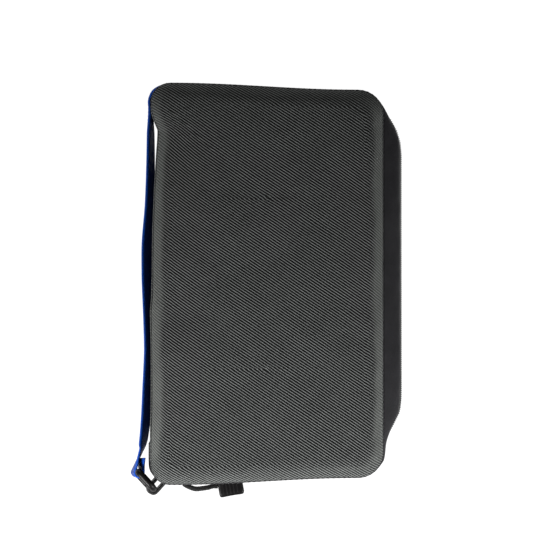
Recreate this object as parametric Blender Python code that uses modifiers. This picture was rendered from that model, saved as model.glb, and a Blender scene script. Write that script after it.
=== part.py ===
"""Zipped wallet for discs, lying on its front: metres, +Z up, +X towards the fore edge.

Two padded covers are joined by a cloth spine. A U-shaped gusset of each cover meets the other at a
zip that runs round three sides. A block of sleeve leaves is bound at the spine, a zipped pocket is
sewn on the front cover, and a carrying strap ends in a D-ring at one corner of the spine.
"""
import math

import bmesh
import bpy
from mathutils import Matrix, Vector

# Covers
CASE_LENGTH = 0.288
PANEL_WIDTH = 0.167
CASE_THICKNESS = 0.048
COVER_CROWN = 0.009
CROWN_WIDTH = 0.014
EDGE_BOW = 0.005
SPINE_CORNER_R = 0.014
FORE_CORNER_R = 0.018
SKIN = 0.0012
BOARD = 0.0018
LINING = 0.0008
BOARD_INSET = 0.0030
LINING_INSET = 0.0050
GUSSET_WALL = 0.0014
FIT = 0.0003

# Main zip, measured at the middle of its coil
ZIP_REACH = 0.0135
ZIP_TUCK = 0.006
ZIP_CORNER_R = 0.044
ZIP_SPINE_INSET = 0.002
ZIP_SPINE_R = 0.010
TAPE = 0.0008
TAPE_WIDTH = 0.0026
COIL_WIDTH = 0.0022
COIL_DEPTH = 0.0024
CHAIN_GAP = 0.0010

# Spine, strap and ring
SPINE_WALL = 0.0022
SPINE_LINING = 0.0006
SPINE_END_GAP = 0.0165
STRAP_WIDTH = 0.018
STRAP_THICK = 0.0018
STRAP_LEAN = math.radians(5.0)
STRAP_RISE = -0.0005
STRAP_SEAM = 0.020
STRAP_BOW = ((0.675, 0.0012), (0.455, 0.0035), (0.235, 0.0056), (0.031, 0.0062), (-0.173, 0.0052),
             (-0.376, 0.0045), (-0.596, 0.0050), (-0.784, 0.0066), (-0.933, 0.0092))
RING_ROD = 0.0038
RING_BEND = 0.0022
RING_DEPTH = 0.0200
RING_BAR_INSET = 0.0065
RING_HEADING = math.radians(-47.6)
TAB_WIDTH = 0.010
TAB_THICK = 0.0014

# Leaves
LEAF_COUNT = 12
LEAF = 0.0009
LEAF_GAP = 0.0005
LEAF_END_GAP = 0.0005
LEAF_FORE_GAP = 0.0297
LEAF_CORNER_R = 0.012
BINDING_DEPTH = 0.009
BINDING_WALL = 0.0010

# Front pocket
POCKET_X = 0.005
POCKET_RIM = 0.0075
POCKET_END_RIM = 0.0085
POCKET_CORNER_R = 0.024
POCKET_PANEL = 0.0045
POCKET_BASE = 0.0013
POCKET_WALL = 0.0012
POCKET_EDGE = 0.006
GREY_EDGE_X = -0.008
RAMP_WIDTH = 0.024
GREY_CORNER_R = 0.002
BADGE_LENGTH = 0.046
BADGE_WIDTH = 0.024
BADGE = 0.0010
BADGE_FORE_GAP = 0.0435
BADGE_Y = 0.030
POCKET_ZIP_Z = 0.0052
POCKET_ZIP_INSET = 0.014
POCKET_COIL_DEPTH = 0.0018

# Zip sliders and their pulls
SLIDER_LENGTH = 0.011
SLIDER_PLATE = 0.0009
SLIDER_LIP = 0.0008
SLIDER_WEB = 0.0004
BRIDGE_LENGTH = 0.0056
BRIDGE_WIDTH = 0.0026
BRIDGE_WALL = 0.0007
LINK_WIRE = 0.0012
LINK_WIDTH = 0.0062
LINK_LENGTH = 0.0080
PULL_CORD = 0.0036
PULL_TAB = (0.0185, 0.0150, 0.0046)
MAIN_SLIDER_INSET = 0.0165
MAIN_LINK_ANGLE = math.radians(35.0)
MAIN_TAB_RUN = 0.0400
MAIN_TAB_OUT = 0.0095
TABLE_GAP = 0.0002
POCKET_SLIDER_INSET = 0.027
POCKET_TAB = (0.0185, 0.0130, 0.0038)
POCKET_TAB_X = -0.0036
POCKET_CORD_LENGTH = 0.034

ARC_STEPS = 6
EASE_STEPS = 6

MID_Z = CASE_THICKNESS / 2
SEAM_Z = COVER_CROWN
HALF_LENGTH = CASE_LENGTH / 2
HALF_WIDTH = PANEL_WIDTH / 2
BOW_START = -HALF_WIDTH + SPINE_CORNER_R
BOW_END = HALF_WIDTH - FORE_CORNER_R
ZIP_X = HALF_WIDTH + ZIP_REACH
ZIP_HALF_LENGTH = HALF_LENGTH - ZIP_TUCK
SPINE_END = HALF_LENGTH - SPINE_END_GAP
COIL_Z = MID_Z - CHAIN_GAP / 2 - COIL_WIDTH
TAPE_Z = COIL_Z - FIT - TAPE_WIDTH
GUSSET_TOP_Z = TAPE_Z - FIT
BOARD_Z = SEAM_Z + FIT
LINING_Z = BOARD_Z + BOARD + FIT
CAVITY_Z = LINING_Z + LINING
STRAP_Z = MID_Z + STRAP_RISE
RING_LOOP_R = RING_ROD / 2 + FIT + STRAP_THICK / 2
MAIN_SLIDER_X = MAIN_SLIDER_INSET - HALF_WIDTH
BADGE_X = HALF_WIDTH - BADGE_FORE_GAP
POCKET_SLIDER_Y = HALF_LENGTH - POCKET_SLIDER_INSET
RING_BAR_X = -(ZIP_X + COIL_DEPTH / 2) + RING_LOOP_R + STRAP_THICK / 2
RING_BAR = Vector((RING_BAR_X, RING_BAR_INSET - HALF_LENGTH))
RING_AXIS = Vector((math.cos(RING_HEADING), math.sin(RING_HEADING)))
RING_APEX = RING_BAR + RING_AXIS * (RING_DEPTH - RING_ROD)
TAB_LOOP_R = RING_ROD / 2 + FIT + TAB_THICK / 2
CASE_SHIFT_Y = (TAB_LOOP_R + TAB_THICK / 2 - RING_APEX.y - HALF_LENGTH) / 2


def start_scene():
    for item in list(bpy.data.objects):
        bpy.data.objects.remove(item, do_unlink=True)
    parts = bpy.data.collections.new("disc_wallet")
    bpy.context.scene.collection.children.link(parts)
    return parts


PARTS = start_scene()


def material(name, colour, roughness, metallic=0.0):
    made = bpy.data.materials.new(name)
    made.use_nodes = True
    shader = made.node_tree.nodes["Principled BSDF"]
    shader.inputs["Base Color"].default_value = (*colour, 1.0)
    shader.inputs["Roughness"].default_value = roughness
    shader.inputs["Metallic"].default_value = metallic
    made.diffuse_color = (*colour, 1.0)
    return made


def new_object(name, mesh, look=None):
    made = bpy.data.objects.new(name, mesh)
    PARTS.objects.link(made)
    if look is not None:
        made.data.materials.clear()
        made.data.materials.append(look)
    return made


def smooth(item, angle=40.0):
    item.data.shade_smooth()
    item.data.set_sharp_from_angle(angle=math.radians(angle))
    return item


def evaluated(item, name, look=None):
    """A plain mesh object with the curves and modifiers of item worked in; item goes."""
    bpy.context.view_layer.update()
    depsgraph = bpy.context.evaluated_depsgraph_get()
    mesh = bpy.data.meshes.new_from_object(item.evaluated_get(depsgraph))
    place = item.matrix_world.copy()
    bpy.data.objects.remove(item, do_unlink=True)
    work = bmesh.new()
    work.from_mesh(mesh)
    bmesh.ops.remove_doubles(work, verts=work.verts, dist=1e-6)
    bmesh.ops.dissolve_limit(work, angle_limit=math.radians(0.3), verts=work.verts, edges=work.edges)
    bmesh.ops.recalc_face_normals(work, faces=work.faces)
    work.transform(place)
    work.to_mesh(mesh)
    work.free()
    return new_object(name, mesh, look)


def combine(target, tool, operation):
    cut = target.modifiers.new(operation.lower(), "BOOLEAN")
    cut.operation = operation
    cut.object = tool
    name = target.name
    look = target.data.materials[0] if target.data.materials else None
    target.name = name + "_stock"
    made = evaluated(target, name, look)
    bpy.data.objects.remove(tool, do_unlink=True)
    return made


def mesh_from(name, points, faces, look):
    mesh = bpy.data.meshes.new(name)
    mesh.from_pydata([tuple(point) for point in points], [], faces)
    work = bmesh.new()
    work.from_mesh(mesh)
    bmesh.ops.recalc_face_normals(work, faces=work.faces)
    work.to_mesh(mesh)
    work.free()
    return new_object(name, mesh, look)


def loft(name, rings, look):
    """A closed solid through closed rings of equally many points, capped at both ends."""
    count = len(rings[0])
    points = [point for ring in rings for point in ring]
    faces = [list(range(count)), list(range(len(points) - count, len(points)))]
    for row in range(len(rings) - 1):
        for step in range(count):
            after = (step + 1) % count
            faces.append([row * count + step, row * count + after,
                          (row + 1) * count + after, (row + 1) * count + step])
    return smooth(mesh_from(name, points, faces, look))


def sheet(name, rows, wall, side, look):
    """An open surface through rows of points, made a wall that grows to one side of it."""
    count = len(rows[0])
    points = [point for row in rows for point in row]
    faces = []
    for row in range(len(rows) - 1):
        for step in range(count - 1):
            start = row * count + step
            faces.append([start, start + 1, start + count + 1, start + count])
    mesh = bpy.data.meshes.new(name)
    mesh.from_pydata([tuple(point) for point in points], [], faces)
    made = new_object(name, mesh, look)
    thick = made.modifiers.new("wall", "SOLIDIFY")
    thick.thickness = wall
    thick.offset = side
    thick.use_even_offset = True
    return smooth(made)


def flat_solid(name, loops, low, high, look=None):
    """A flat outline, with any holes, given a thickness from low to high."""
    curve = bpy.data.curves.new(name, "CURVE")
    curve.dimensions = "2D"
    curve.fill_mode = "BOTH"
    curve.extrude = (high - low) / 2
    for loop in loops:
        spline = curve.splines.new("POLY")
        spline.points.add(len(loop) - 1)
        for point, (x, y) in zip(spline.points, loop):
            point.co = (x, y, 0.0, 1.0)
        spline.use_cyclic_u = True
    made = new_object(name + "_curve", curve)
    made.location.z = (low + high) / 2
    return evaluated(made, name, look)


def rounded_edges(item, width, segments=2, limit=50.0):
    bevel = item.modifiers.new("rounded_edges", "BEVEL")
    bevel.width = width
    bevel.segments = segments
    bevel.limit_method = "ANGLE"
    bevel.angle_limit = math.radians(limit)
    return item


def box(name, low, high, look=None):
    mesh = bpy.data.meshes.new(name)
    work = bmesh.new()
    bmesh.ops.create_cube(work, size=1.0)
    spans = [b - a for a, b in zip(low, high)]
    middle = [(a + b) / 2 for a, b in zip(low, high)]
    work.transform(Matrix.Translation(middle) @ Matrix.Diagonal((*spans, 1.0)))
    work.to_mesh(mesh)
    work.free()
    return new_object(name, mesh, look)


def rod(name, points, radius, look, cyclic=False, steps=2):
    curve = bpy.data.curves.new(name, "CURVE")
    curve.dimensions = "3D"
    curve.bevel_depth = radius
    curve.bevel_resolution = steps
    curve.use_fill_caps = not cyclic
    spline = curve.splines.new("POLY")
    spline.points.add(len(points) - 1)
    for point, place in zip(spline.points, points):
        point.co = (*place, 1.0)
    spline.use_cyclic_u = cyclic
    made = new_object(name, curve, look)
    return made


def smooth_route(points, spacing):
    """Points about spacing apart on a smooth curve through the given points."""
    padded = [points[0] * 2 - points[1], *points, points[-1] * 2 - points[-2]]
    route = []
    for a, b, c, d in zip(padded, padded[1:], padded[2:], padded[3:]):
        steps = max(1, round((c - b).length / spacing))
        for step in range(steps):
            t = step / steps
            route.append(0.5 * (2 * b + (c - a) * t + (2 * a - 5 * b + 4 * c - d) * t * t
                                + (3 * b - a - 3 * c + d) * t ** 3))
    return [*route, points[-1]]


def arc(centre, radius, start, end, steps=ARC_STEPS):
    turn = (end - start) / steps
    return [(centre[0] + radius * math.cos(math.radians(start + turn * step)),
             centre[1] + radius * math.sin(math.radians(start + turn * step)))
            for step in range(steps + 1)]


def half_length_at(x, half, bow):
    """Half the length at x: the ends run in by bow towards the fore edge."""
    share = min(1.0, max(0.0, (x - BOW_START) / (BOW_END - BOW_START)))
    return half - bow * (1 - math.cos(math.pi * share)) / 2


def fore_run(x_start, x_fore, half, bow, radius):
    """One end, the fore edge and the other end of an outline, without the spine side."""
    x_turn = x_fore - radius
    centre_y = half_length_at(x_turn, half, bow) - radius
    lower = []
    for step in range(EASE_STEPS):
        x = x_start + (x_turn - x_start) * step / EASE_STEPS
        lower.append((x, -half_length_at(x, half, bow)))
    lower += arc((x_turn, -centre_y), radius, 270, 360)
    return lower + [(x, -y) for x, y in reversed(lower)]


def closed_outline(x_spine, x_fore, half, bow, r_spine, r_fore):
    x_turn = x_spine + r_spine
    centre_y = half_length_at(x_turn, half, bow) - r_spine
    run = fore_run(x_turn, x_fore, half, bow, r_fore)
    upper = arc((x_turn, centre_y), r_spine, 90, 180)[1:]
    lower = arc((x_turn, -centre_y), r_spine, 180, 270)[:-1]
    return run + upper + lower


def u_outline(x_spine, x_fore, half, bow, r_spine, r_fore, end):
    """The outline without its spine side, from one end of the spine round to the other."""
    x_turn = x_spine + r_spine
    centre_y = half_length_at(x_turn, half, bow) - r_spine
    run = fore_run(x_turn, x_fore, half, bow, r_fore)
    upper = arc((x_turn, centre_y), r_spine, 90, 180)[1:]
    lower = arc((x_turn, -centre_y), r_spine, 180, 270)[:-1]
    return [(x_spine, -end), *lower, *run, *upper, (x_spine, end)]


def cover_outline(inset=0.0):
    return closed_outline(-HALF_WIDTH + inset, HALF_WIDTH - inset, HALF_LENGTH - inset, EDGE_BOW,
                          SPINE_CORNER_R - inset / 2, FORE_CORNER_R - inset / 2)


def at_height(outline, z, low=True):
    """The outline as 3-D points in the lower cover, or at the mirrored height in the upper one."""
    return [Vector((x, y, z if low else CASE_THICKNESS - z)) for x, y in outline]


def crown_rings(outline_at, skin, low, flip=False):
    """Rings of a crowned cover from its rim, skin inside the outer surface, to its flat middle."""
    rings = []
    for step in range(6):
        angle = math.radians(90 * step / 5)
        share = 1 - math.cos(angle)
        depth = (COVER_CROWN - skin) * math.sin(angle)
        rings.append(at_height(outline_at(skin, share), SEAM_Z - depth, low))
    return list(reversed(rings)) if flip else rings


def full_cover(skin, share):
    return cover_outline(skin + (CROWN_WIDTH - skin) * share)


def grey_cover(skin, share):
    inset = skin + (CROWN_WIDTH - skin) * share
    x_fore = GREY_EDGE_X - skin - (RAMP_WIDTH - skin) * share
    return closed_outline(-HALF_WIDTH + inset, x_fore, HALF_LENGTH - inset, EDGE_BOW,
                          SPINE_CORNER_R - inset / 2, GREY_CORNER_R)


def cover_skin(name, outline_at, low, look):
    """The sewn outer cloth of a cover, open towards the inside."""
    outer = crown_rings(outline_at, 0.0, low, flip=True)
    inner = crown_rings(outline_at, SKIN, low)
    return loft(name, outer + inner, look)


def cover_pad(name, outline_at, low, look):
    """The foam that fills a cover's skin up to its seam."""
    return loft(name, crown_rings(outline_at, SKIN + FIT, low), look)


def cover_sheet(name, z, thickness, inset, low, look):
    high = z + thickness
    levels = (z, high) if low else (CASE_THICKNESS - high, CASE_THICKNESS - z)
    return flat_solid(name, [cover_outline(inset)], *levels, look)


def gusset_outline(share):
    """The gusset's outline, from the cover's seam at 0 to the zip at 1."""
    def between(start, end, amount=share):
        return start + (end - start) * amount
    bulge = math.sin(share * math.pi / 2)
    tuck = share * share
    return u_outline(between(-HALF_WIDTH, -HALF_WIDTH + ZIP_SPINE_INSET, tuck),
                     between(HALF_WIDTH, ZIP_X, bulge), between(HALF_LENGTH, ZIP_HALF_LENGTH, tuck),
                     between(EDGE_BOW, 0.0, tuck), between(SPINE_CORNER_R, ZIP_SPINE_R, tuck),
                     between(FORE_CORNER_R, ZIP_CORNER_R, bulge), SPINE_END + FIT)


def gusset(name, low, look):
    rows = []
    seam = SEAM_Z + FIT + GUSSET_WALL / 3
    for step in range(6):
        share = step / 5
        rows.append(at_height(gusset_outline(share), seam + (GUSSET_TOP_Z - seam) * share, low))
    return sheet(name, rows, GUSSET_WALL, -1.0 if low else 1.0, look)


def zip_tape(name, low, look):
    outline = gusset_outline(1.0)
    rows = [at_height(outline, TAPE_Z, low), at_height(outline, TAPE_Z + TAPE_WIDTH, low)]
    return sheet(name, rows, TAPE, 0.0, look)


def zip_coil(name, low, look):
    run = fore_run(-HALF_WIDTH + ZIP_SPINE_INSET + ZIP_SPINE_R, ZIP_X, ZIP_HALF_LENGTH, 0.0, ZIP_CORNER_R)
    rows = [at_height(run, COIL_Z, low), at_height(run, COIL_Z + COIL_WIDTH, low)]
    made = sheet(name, rows, COIL_DEPTH, 0.0, look)
    return rounded_edges(made, COIL_WIDTH / 4, 1, 60.0)


# Looks of the materials
GREY = material("charcoal_twill", (0.075, 0.078, 0.078), 0.85)
BLACK = material("black_cloth", (0.012, 0.012, 0.013), 0.8)
BLUE = material("blue_cloth", (0.01, 0.06, 0.42), 0.7)
BLUE_WEB = material("blue_webbing", (0.012, 0.07, 0.45), 0.6)
LINED = material("black_lining", (0.02, 0.02, 0.022), 0.7)
FOAM = material("foam", (0.35, 0.35, 0.36), 0.9)
CARD = material("stiffener", (0.25, 0.22, 0.18), 0.8)
TAPED = material("zip_tape", (0.015, 0.015, 0.017), 0.8)
COILED = material("zip_coil", (0.03, 0.03, 0.032), 0.4)
METAL = material("black_metal", (0.03, 0.03, 0.032), 0.35, 0.8)
MOULDED = material("black_plastic", (0.015, 0.015, 0.016), 0.45)
FILM = material("clear_film", (0.75, 0.78, 0.8), 0.2)


def zip_seams(low, word, zip_look):
    return [gusset(word + "_gusset", low, BLACK), zip_tape(word + "_zip_tape", low, zip_look),
            zip_coil(word + "_zip_coil", low, COILED)]


def back_cover():
    return [cover_skin("back_panel", full_cover, False, GREY),
            cover_pad("back_pad", full_cover, False, FOAM),
            cover_sheet("back_board", BOARD_Z, BOARD, BOARD_INSET, False, CARD),
            cover_sheet("back_lining", LINING_Z, LINING, LINING_INSET, False, LINED),
            *zip_seams(False, "back", TAPED)]


def front_cover():
    return [cover_skin("front_panel", grey_cover, True, GREY),
            cover_pad("front_pad", grey_cover, True, FOAM),
            cover_sheet("front_board", BOARD_Z, BOARD, BOARD_INSET, True, CARD),
            cover_sheet("front_lining", LINING_Z, LINING, LINING_INSET, True, LINED),
            *zip_seams(True, "front", TAPED)]


def pocket_outline(inset):
    """The blue panel's outline on three sides, with its straight side at the zip."""
    return closed_outline(POCKET_X + min(inset, POCKET_EDGE / 2), HALF_WIDTH - POCKET_RIM - inset,
                          HALF_LENGTH - POCKET_END_RIM - inset, EDGE_BOW, 0.003,
                          POCKET_CORNER_R - inset)


def pocket_panel():
    """A padded blue panel with a rounded edge, recessed for the badge."""
    rings = []
    for step in range(5):
        angle = math.radians(90 * step / 4)
        inset = POCKET_EDGE * (1 - math.cos(angle))
        rings.append(at_height(pocket_outline(inset), (POCKET_PANEL - SKIN) * (1 - math.sin(angle))))
    rings.insert(0, at_height(pocket_outline(0.0), POCKET_PANEL))
    panel = loft("pocket_panel", rings, BLUE)
    recess = flat_solid("recess", [badge_outline(FIT)], -BADGE, BADGE + 2 * FIT)
    return smooth(combine(panel, recess, "DIFFERENCE"))


def badge_outline(grow=0.0):
    return [(BADGE_X + (BADGE_WIDTH / 2 + grow) * math.cos(math.radians(angle)),
             BADGE_Y + (BADGE_LENGTH / 2 + grow) * math.sin(math.radians(angle)))
            for angle in range(0, 360, 12)]


def badge():
    return rounded_edges(flat_solid("badge", [badge_outline()], FIT / 2, BADGE, MOULDED), 0.0002, 1)


def pocket_wall():
    """The black wall between the blue panel's edge and the rim of the front cover."""
    rows = []
    stand_off = POCKET_WALL + FIT + 0.0001
    low_z = POCKET_PANEL * 0.6
    high_z = SEAM_Z - POCKET_WALL + 0.0002
    for step in range(4):
        share = step / 3
        x_fore = HALF_WIDTH - POCKET_RIM + stand_off
        half = HALF_LENGTH - POCKET_END_RIM + stand_off
        rim = 0.0008
        run = fore_run(POCKET_X + FIT, x_fore + (HALF_WIDTH - rim - x_fore) * share,
                       half + (HALF_LENGTH - rim - half) * share, EDGE_BOW,
                       POCKET_CORNER_R + (FORE_CORNER_R - POCKET_CORNER_R) * share)
        rows.append(at_height(run, low_z + (high_z - low_z) * (1 - math.cos(share * math.pi / 2))))
    return sheet("pocket_wall", rows, POCKET_WALL, -1.0, BLACK)


def pocket_base():
    """The stiff cloth behind the pocket, which the pocket's zip and wall are sewn to."""
    inset = 0.0034
    outline = closed_outline(GREY_EDGE_X + FIT, HALF_WIDTH - inset, HALF_LENGTH - inset, EDGE_BOW,
                             0.001, FORE_CORNER_R)
    return flat_solid("pocket_base", [outline], SEAM_Z - FIT - POCKET_BASE, SEAM_Z - FIT, BLACK)


def ramp_x(z):
    """Where the grey panel's slope towards the pocket zip lies at height z."""
    rise = (SEAM_Z - z) / COVER_CROWN
    return GREY_EDGE_X - RAMP_WIDTH * (1 - math.sqrt(1 - rise * rise))


def pocket_zip():
    low = POCKET_ZIP_Z - TAPE / 2
    high = POCKET_ZIP_Z + TAPE / 2
    half = POCKET_COIL_DEPTH / 2
    near = CHAIN_GAP / 2
    far = near + COIL_WIDTH
    end = HALF_LENGTH - POCKET_ZIP_INSET
    coil_end = POCKET_SLIDER_Y + SLIDER_LENGTH / 2 - 0.0040
    nodes = []
    grey_side = (ramp_x(high) + FIT, -far - FIT)
    blue_side = (far + FIT, POCKET_X + 0.004)
    for word, (x_low, x_high) in (("grey", grey_side), ("blue", blue_side)):
        nodes.append(box("pocket_tape_" + word, (x_low, -end, low), (x_high, end, high), TAPED))
    for word, sign in (("grey", -1), ("blue", 1)):
        x_low, x_high = sorted((sign * near, sign * far))
        bead = box("pocket_coil_" + word, (x_low, -end, POCKET_ZIP_Z - half),
                   (x_high, coil_end, POCKET_ZIP_Z + half), COILED)
        nodes.append(rounded_edges(bead, COIL_WIDTH / 4, 1))
    return nodes


def spine():
    low = SEAM_Z + FIT
    high = CASE_THICKNESS - low
    panel = box("spine_panel", (-HALF_WIDTH, -SPINE_END, low),
                (-HALF_WIDTH + SPINE_WALL, SPINE_END, high), GREY)
    rounded_edges(panel, 0.0006)
    lining_x = -HALF_WIDTH + SPINE_WALL + FIT
    lining = box("spine_lining", (lining_x, -SPINE_END, CAVITY_Z + FIT),
                 (lining_x + SPINE_LINING, SPINE_END, CASE_THICKNESS - CAVITY_Z - FIT), LINED)
    return [panel, lining]


def page_block():
    """Thin sleeve leaves, one above the other, welded along the spine side."""
    x_bound = -HALF_WIDTH + SPINE_WALL + 2 * FIT + SPINE_LINING + BINDING_WALL + 0.0004
    x_root = x_bound + BINDING_DEPTH
    x_fore = ZIP_X - LEAF_FORE_GAP
    pitch = LEAF + LEAF_GAP
    base = CAVITY_Z + FIT + BINDING_WALL + FIT
    comb = [(x_bound, base)]
    for leaf in range(LEAF_COUNT):
        low = base + leaf * pitch
        comb += [(x_fore, low), (x_fore, low + LEAF)]
        if leaf < LEAF_COUNT - 1:
            comb += [(x_root, low + LEAF), (x_root, low + pitch)]
    comb.append((x_bound, base + (LEAF_COUNT - 1) * pitch + LEAF))
    half = SPINE_END - LEAF_END_GAP
    block = flat_solid("page_block", [comb], -half, half, FILM)
    block.data.transform(Matrix.Rotation(math.radians(90), 4, "X"))
    rounded = fore_run(x_bound - 0.002, x_fore + 0.00005, half + 0.00005, 0.0, LEAF_CORNER_R)
    stock = flat_solid("leaf_outline", [rounded], 0.0, CASE_THICKNESS)
    return combine(block, stock, "INTERSECT"), x_bound, base, base + LEAF_COUNT * pitch - LEAF_GAP


def binding(x_bound, low, high):
    """The folded strip that holds the leaves together at the spine."""
    wall = BINDING_WALL
    x_out = x_bound - FIT
    x_in = x_bound + BINDING_DEPTH - 0.002
    low_out = low - FIT
    high_out = high + FIT
    section = [(x_in, low_out), (x_in, low_out - wall), (x_out - wall, low_out - wall),
               (x_out - wall, high_out + wall), (x_in, high_out + wall), (x_in, high_out),
               (x_out, high_out), (x_out, low_out)]
    half = SPINE_END - LEAF_END_GAP
    strip = flat_solid("binding_strip", [section], -half, half, LINED)
    strip.data.transform(Matrix.Rotation(math.radians(90), 4, "X"))
    return strip


def ribbon(name, route, width, thickness, middle, lean, look):
    """A flat strap on edge along a plan route, thickened to both sides of its middle."""
    rows = [[], []]
    for step, point in enumerate(route):
        before = route[max(step - 1, 0)]
        after = route[min(step + 1, len(route) - 1)]
        run = (after - before).normalized()
        out = Vector((run.y, -run.x))
        tilt = lean[step] if isinstance(lean, list) else lean
        for row, side in ((0, -1), (1, 1)):
            shift = out * (side * width / 2 * math.sin(tilt))
            rows[row].append(Vector((point.x + shift.x, point.y + shift.y,
                                     middle + side * width / 2 * math.cos(tilt))))
    return sheet(name, rows, thickness, 0.0, look)


def carry_strap():
    """Webbing sewn at the top corner of the spine, bowed along it and folded round the ring."""
    half = STRAP_THICK / 2
    corner = Vector((-HALF_WIDTH + SPINE_CORNER_R, HALF_LENGTH - SPINE_CORNER_R))
    stand = SPINE_CORNER_R + FIT * 3 + half
    along = [corner + Vector((math.cos(math.radians(a)), math.sin(math.radians(a)))) * stand
             for a in range(100, 176, 15)]
    near = -HALF_WIDTH - FIT - half
    bow = [Vector((near, SPINE_END - 0.003)), Vector((near, SPINE_END - STRAP_SEAM + 0.002))]
    bow += [Vector((near - stand_off, share * SPINE_END)) for share, stand_off in STRAP_BOW]
    loop = [RING_BAR + Vector((math.cos(math.radians(a)), math.sin(math.radians(a)))) * RING_LOOP_R
            for a in range(180, 361, 30)]
    back = [Vector((RING_BAR.x + RING_LOOP_R - 0.0002, RING_BAR.y + 0.006)),
            Vector((near - 0.0056, RING_BAR.y + 0.0165))]
    route = smooth_route(along + bow, 0.006) + smooth_route([*loop, *back], 0.0025)
    top = SPINE_END - STRAP_SEAM
    low = RING_BAR.y + STRAP_WIDTH
    lean = [STRAP_LEAN * math.sin(math.pi * min(1.0, max(0.0, (point.y - low) / (top - low))))
            for point in route]
    return ribbon("carry_strap", route, STRAP_WIDTH, STRAP_THICK, STRAP_Z, lean, BLUE_WEB)


def strap_ring():
    """A D-shaped ring that stands on edge, its straight bar in the strap."""
    reach = RING_DEPTH - RING_ROD
    half = STRAP_WIDTH / 2 + FIT + RING_BEND
    corner = half - TAB_WIDTH / 2 - 2 * FIT
    bend = RING_BEND
    profile = [(0.0, -half + bend), (0.0, half - bend), (bend * 0.3, half - bend * 0.3), (bend, half)]
    for step in range(7):
        angle = math.radians(90 - 15 * step)
        profile.append((reach - corner + corner * math.cos(angle),
                        half - corner + corner * math.sin(angle)))
    profile += [(u, -v) for u, v in reversed(profile[2:])]
    points = [Vector((RING_BAR.x + RING_AXIS.x * u, RING_BAR.y + RING_AXIS.y * u, STRAP_Z + v))
              for u, v in profile]
    return rod("strap_ring", points, RING_ROD / 2, MOULDED, cyclic=True, steps=2)


def ring_tab():
    """A short webbing loop that holds the ring's bow and is sewn along the corner of the spine."""
    half = TAB_THICK / 2
    corner = Vector((-HALF_WIDTH + SPINE_CORNER_R, -HALF_LENGTH + SPINE_CORNER_R))
    stand = SPINE_CORNER_R + FIT + half
    near = -HALF_WIDTH - FIT - half
    seam = [Vector((near, -SPINE_END + 0.012)), Vector((near, -SPINE_END))]
    seam += [corner + Vector((math.cos(math.radians(a)), math.sin(math.radians(a)))) * stand
             for a in (190, 203, 216, 226)]
    towards = corner + (RING_APEX - corner).normalized() * stand - RING_APEX
    start = math.degrees(math.atan2(towards.y, towards.x)) + 90
    loop = [RING_APEX + Vector((math.cos(math.radians(start + a)),
                                math.sin(math.radians(start + a)))) * TAB_LOOP_R
            for a in range(0, 181, 30)]
    end = [corner + Vector((math.cos(math.radians(250)), math.sin(math.radians(250)))) * (stand + 0.0006)]
    route = smooth_route([*seam, *loop, *end], 0.0020)
    return ribbon("ring_tab", route, TAB_WIDTH, TAB_THICK, STRAP_Z, 0.0, BLACK)


def slider_body(name, depth, look, lid_open):
    """A zip slider: two plates, a web between the coils, lips over the tapes and a bridge.

    The chain runs along X, the bridge stands up in Z. With lid_open one side has no lips, so that
    the coil of the lifted cover comes straight out.
    """
    channel = depth / 2 + FIT
    lip_y = CHAIN_GAP / 2 + COIL_WIDTH + FIT
    wide = lip_y + SLIDER_LIP + 0.0003
    half = SLIDER_LENGTH / 2
    plan = [(half, -lip_y), (half, lip_y), (half - 0.0012, lip_y + SLIDER_LIP), (0.0, wide),
            (-half + 0.002, wide), (-half, wide - 0.0018), (-half, -wide + 0.0018),
            (-half + 0.002, -wide), (0.0, -wide), (half - 0.0012, -lip_y - SLIDER_LIP)]
    body = flat_solid(name, [plan], channel, channel + SLIDER_PLATE, look)
    inner = flat_solid("inner_plate", [plan], -channel - SLIDER_PLATE, -channel)
    web = box("web", (-half + 0.0006, -SLIDER_WEB / 2, -channel - 0.0002),
              (-half + 0.0036, SLIDER_WEB / 2, channel + 0.0002))
    pieces = [web, inner]
    sides = (-1,) if lid_open else (-1, 1)
    for side in sides:
        for level in (-1, 1):
            edges_y = sorted((side * lip_y, side * (lip_y + SLIDER_LIP)))
            edges_z = sorted((level * (TAPE / 2 + FIT), level * (channel + 0.0002)))
            pieces.append(box("lip", (-half + 0.002, edges_y[0], edges_z[0]),
                              (half - 0.0012, edges_y[1], edges_z[1])))
    outside = channel + SLIDER_PLATE
    hole = LINK_WIRE / 2 + FIT
    top = outside + 2 * hole + BRIDGE_WALL
    reach = BRIDGE_LENGTH / 2
    foot = outside - 0.0002
    arch = [(reach, foot), (reach - 0.0004, outside + hole), (reach - 0.0014, top),
            (-reach + 0.0014, top), (-reach + 0.0004, outside + hole), (-reach, foot)]
    eye = [(hole * math.cos(math.radians(a)) * 1.4, outside + hole + hole * math.sin(math.radians(a)))
           for a in range(0, 360, 30)]
    bridge = flat_solid("bridge", [arch, eye], -BRIDGE_WIDTH / 2, BRIDGE_WIDTH / 2)
    bridge.data.transform(Matrix.Rotation(math.radians(90), 4, "X"))
    pieces.append(bridge)
    for piece in pieces:
        body = combine(body, piece, "UNION")
    return body


def bridge_height(depth):
    return depth / 2 + FIT + SLIDER_PLATE + LINK_WIRE / 2 + FIT


def pull_link(name, look):
    """A wire loop through the slider's bridge, lying along X from its hinge at the origin."""
    half = LINK_WIDTH / 2 - LINK_WIRE / 2
    length = LINK_LENGTH - LINK_WIRE
    nip = 0.0012
    points = [(0, -half + nip, 0), (0, half - nip, 0), (nip * 0.3, half - nip * 0.3, 0), (nip, half, 0),
              (length - nip, half, 0), (length - nip * 0.3, half - nip * 0.3, 0),
              (length, half - nip, 0), (length, -half + nip, 0),
              (length - nip * 0.3, -half + nip * 0.3, 0), (length - nip, -half, 0), (nip, -half, 0),
              (nip * 0.3, -half + nip * 0.3, 0)]
    return rod(name, points, LINK_WIRE / 2, look, cyclic=True, steps=2)


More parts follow.
